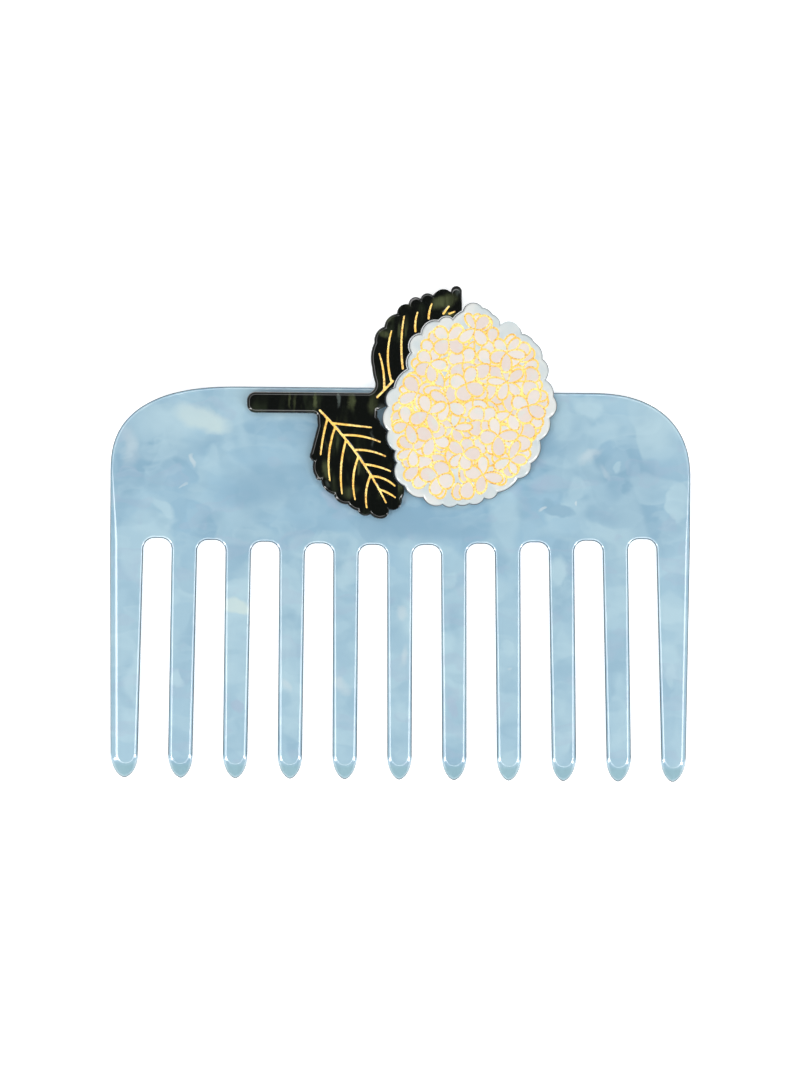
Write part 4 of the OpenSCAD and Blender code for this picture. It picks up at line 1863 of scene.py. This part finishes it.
@dataclass
class LeafSpray(Plaque):
    """Dark stem with two toothed leaves and gilt veins."""

    name: str = "dark_leaves"
    node: str = "leaf_spray"
    sheet: GreenAcetate = GreenAcetate()
    slot: Slot = Slot.GREEN_ACETATE
    gilt_name: str = "gilt_veins"
    gilt_node: str = "leaf_veins"
    gap: float = 0.15
    snug: float = 1.0
    vein_floor: float = 0.22
    vein_slope: float = 0.17
    vein_steps: int = 16
    vein_tests: int = 101
    end_steps: int = 7
    vein_taper: float = 0.3
    top_cusp: int = 8
    pocket_top_cusp: int = 15
    pocket_foot_cusp: int = 16
    foot_cusp: int = 19
    upper_edge: tuple[Triple, ...] = (
        (-1.6, 19.9, 0.95),
        (-3.6, 19.8, 0.65),
        (-6.7, 19.2, 0.6),
        (-8.9, 18.6, 0.65),
        (-11, 17.6, 0.6),
        (-13, 15.9, 0.55),
        (-15.2, 13.6, 0.6),
        (-16.9, 10.8, 0.4),
        (-17.3, 6.5, 0.1),
        (-16.7, 3.7, -0.35),
    )
    stem_edge: tuple[Triple, ...] = (
        (-17.7, 2, 0),
        (-37.6, 2, 0.44),
        (-39.1, 0.5, 0),
        (-39.1, -0.2, 0.44),
        (-37.6, -1.7, 0),
        (-27.6, -1.7, -0.3),
    )
    lower_edge: tuple[Triple, ...] = (
        (-26.8, -2.6, 0),
        (-26.7, -3.9, 0),
        (-27.9, -8.6, 0.35),
        (-27.4, -10.1, 0.3),
        (-27, -12.8, 0.3),
        (-26, -13.4, 0.55),
        (-23.8, -15.9, 0.55),
        (-21.3, -17.6, 0.2),
        (-19.6, -18.7, 0.55),
        (-17.3, -19.3, 0.35),
        (-15, -20, 0.3),
        (-14, -18.5, 0.8),
        (-11.8, -16.6, 0.25),
    )
    pocket_edge: tuple[Triple, ...] = (
        (-15.6, -3.6, 0.1),
        (-16.25, -2.2, 0),
        (-16.2, -1.05, 0),
    )
    veins: tuple[tuple[float, float, float, float, float], ...] = (
        (-16.3, 1.2, -11.75, 5.95, 0),
        (-15.1, 2.5, -16, 8.8, 0.3),
        (-13.8, 3.85, -13.9, 12.8, -0.65),
        (-11.8, 5.9, -11.7, 15.4, -0.4),
        (-9.7, 12.8, -9.35, 16.1, -0.2),
        (-7.4, 14.8, -6.9, 17.6, -0.15),
        (-5.3, 15.3, -3.9, 17.2, 0),
        (-5, 15.7, -2.9, 16.3, 0.1),
        (-26.3, -1.2, -14.6, -17.2, -0.8),
        (-24.95, -2.55, -26.1, -8.9, 0.15),
        (-23.6, -4.1, -24.45, -13.4, 0.6),
        (-21.7, -6.4, -22.3, -15.7, 0.5),
        (-19.5, -9.3, -20, -16.7, 0.6),
        (-17.3, -12.4, -17.95, -18.1, 0.45),
        (-24.1, -3.4, -17.3, -4.1, 0),
        (-22.3, -5.5, -15.75, -6.6, -0.4),
        (-20.25, -8.05, -14.8, -9.1, -0.35),
        (-18.45, -10.55, -13.9, -11.7, -0.2),
        (-17.2, -12.6, -13.1, -14.25, -0.4),
        (-15.9, -14.9, -13, -16.3, -0.15),
    )

    def centre(self) -> complex:
        """The tables are measured from the flower's centre."""
        return flower_centre()

    def rounding(self, around: np.ndarray) -> np.ndarray:
        """The edge is all but square where it lies against the flower."""
        return np.minimum(1.0, loop_distance(around, scallop_loop().points()) / self.snug)

    def outline(self) -> ArcLoop:
        """Outline of the spray, which follows the flower where they lie side by side.

        Returns:
            The outline, around the flower's centre.
        """
        beside = scallop_loop().inset(-self.gap)

        def against(first: int, last: int) -> list[Triple]:
            """Goes back along the flower from one cusp to another.

            Args:
                first: number of the first cusp.
                last: number of the last cusp, which is the lower number.

            Returns:
                Rows of x, y and bulge.
            """
            rows = []
            for i in range(first, last - 1, -1):
                bulge = 0.0 if i == last else -beside.bulges[i - 1]
                rows.append((beside.corners[i].real, beside.corners[i].imag, bulge))
            return rows

        return ArcLoop.of(
            [
                *self.upper_edge,
                *self.stem_edge,
                *self.lower_edge,
                *against(self.foot_cusp, self.pocket_foot_cusp),
                *self.pocket_edge,
                *against(self.pocket_top_cusp, self.top_cusp),
            ]
        )

    def grooves(self) -> list[Groove]:
        """Veins, each a slim round-ended groove along an arc."""
        return [self.vein(row) for row in self.veins]

    def vein(self, row: Sequence[float]) -> Groove:
        """One vein's groove.

        Args:
            row: start x and y, end x and y, bulge.

        Returns:
            The groove.
        """
        start_x, start_y, end_x, end_y, bulge = row
        start = complex(start_x, start_y)
        chord = complex(end_x, end_y) - start
        half = 2 * math.atan(2 * bulge / abs(chord))
        tests = np.linspace(0, 1, self.vein_tests)
        line = np.array([start + arc_way(chord, half, part) for part in tests]) + self.centre()
        first, last = longest_run(self.clear(line, self.vein_floor / 2 + self.vein_slope))
        parts = np.linspace(tests[first], tests[last], self.vein_steps + 1)
        line = np.array([start + arc_way(chord, half, part) for part in parts]) + self.centre()
        way = chord / abs(chord) * np.exp(1j * half * (2 * parts - 1))
        loops = []
        caps = np.linspace(-math.pi / 2, math.pi / 2, self.end_steps + 1)[1:-1]
        for wide in (self.vein_floor / 2, self.vein_floor / 2 + self.vein_slope):
            reach = wide * (1 - self.vein_taper * parts**3)
            aside = 1j * way * reach
            front = line[-1] + reach[-1] * way[-1] * np.exp(1j * caps)
            back = line[0] - reach[0] * way[0] * np.exp(1j * caps)
            loops.append(np.concatenate([line - aside, front, (line + aside)[::-1], back]))
        return Groove(tuple(loops), (0.0, 1.0))


@dataclass(frozen=True)
class SoftBox:
    """Rectangular studio light that looks at the comb's middle."""

    name: str
    azimuth: float
    tilt: float
    distance: float
    wide: float
    high: float
    power: float

    def hang(self) -> None:
        """Adds the light."""
        around, down = math.radians(self.azimuth), math.radians(self.tilt)
        way = Vector((math.sin(down) * math.cos(around), math.sin(down) * math.sin(around), math.cos(down)))
        light = bpy.data.lights.new(self.name, "AREA")
        light.shape = "RECTANGLE"
        light.size, light.size_y, light.energy = self.wide, self.high, self.power
        lamp = bpy.data.objects.new(self.name, light)
        lamp.location = way * self.distance
        lamp.rotation_euler = way.to_track_quat("Z", "Y").to_euler()
        bpy.context.scene.collection.objects.link(lamp)


@dataclass
class Studio:
    """Pale table, soft light and a camera that looks straight down."""

    floor_size: float = 6.0
    focal: float = 100.0
    sensor: float = 36.0
    frame_height: float = 187.5
    plane_z: float = 4.0
    roll: float = 0.5
    nearest: float = 0.01
    zenith: float = 0.05
    ring: float = 3.4
    horizon: float = 0.2
    ring_colour: Colour = (1.0, 1.0, 1.0)
    ring_inner: Span = (0.984, 0.992)
    ring_outer: Span = (0.86, 0.95)
    lights: tuple[SoftBox, ...] = (
        SoftBox("left_box", 212, 48, 0.75, 0.09, 0.8, 1.7),
        SoftBox("right_box", -32, 48, 0.75, 0.09, 0.8, 1.7),
    )

    def build(self) -> None:
        """Lays the table, hangs the lights and sets up the camera."""
        clear_selection()
        bpy.ops.mesh.primitive_grid_add(x_subdivisions=4, y_subdivisions=4, size=self.floor_size)
        table = bpy.context.object
        table.name = "pale_table"
        table.data.materials.append(PaleFloor().material())
        for box in self.lights:
            box.hang()
        self._sky()
        self._camera()
        bpy.context.scene.view_settings.view_transform = "Standard"

    def _sky(self) -> None:
        """Hangs a wide soft ring of light around a dark zenith, so that flat faces reflect nothing."""
        world = bpy.data.worlds.new("studio")
        bpy.context.scene.world = world
        world.use_nodes = True
        nodes = Nodes(world.node_tree)
        way = nodes.node("ShaderNodeTexCoord").outputs["Generated"]
        height = nodes.value("ShaderNodeSeparateXYZ", "Z", {0: way})
        ramps = []
        for low, high, first, last in (
            (*self.ring_outer, self.horizon, self.ring),
            (*self.ring_inner, 1.0, self.zenith / self.ring),
        ):
            inputs = {"Value": height, "From Min": low, "From Max": high, "To Min": first, "To Max": last}
            ramps.append(nodes.value("ShaderNodeMapRange", "Result", inputs, interpolation_type="SMOOTHSTEP"))
        outer, inner = ramps
        background = nodes.tree.nodes["Background"]
        nodes.feed(background.inputs["Strength"], outer * inner)
        nodes.feed(background.inputs["Color"], self.ring_colour)

    def _camera(self) -> None:
        """Hangs the camera over the comb's middle, turned as the photograph is."""
        eye = bpy.data.cameras.new("eye")
        eye.lens = self.focal
        eye.sensor_fit = "VERTICAL"
        eye.sensor_height = self.sensor
        eye.clip_start = self.nearest
        holder = bpy.data.objects.new("eye", eye)
        holder.location = (0.0, 0.0, (self.frame_height * self.focal / self.sensor + self.plane_z) * MM)
        holder.rotation_euler = (0.0, 0.0, math.radians(self.roll))
        bpy.context.scene.collection.objects.link(holder)
        bpy.context.scene.camera = holder


def main() -> None:
    """Builds and dresses every piece, then the studio."""
    logging.basicConfig(level=logging.INFO, format="%(name)s %(message)s")
    comb = CombPlate()
    comb.dress(comb.build())
    gilding = Gilding().material()
    for plaque in (LeafSpray(), FlowerHead()):
        plate, gold = plaque.build()
        plaque.dress(plate, gold, gilding)
    Studio().build()


if __name__ == "__main__":
    main()
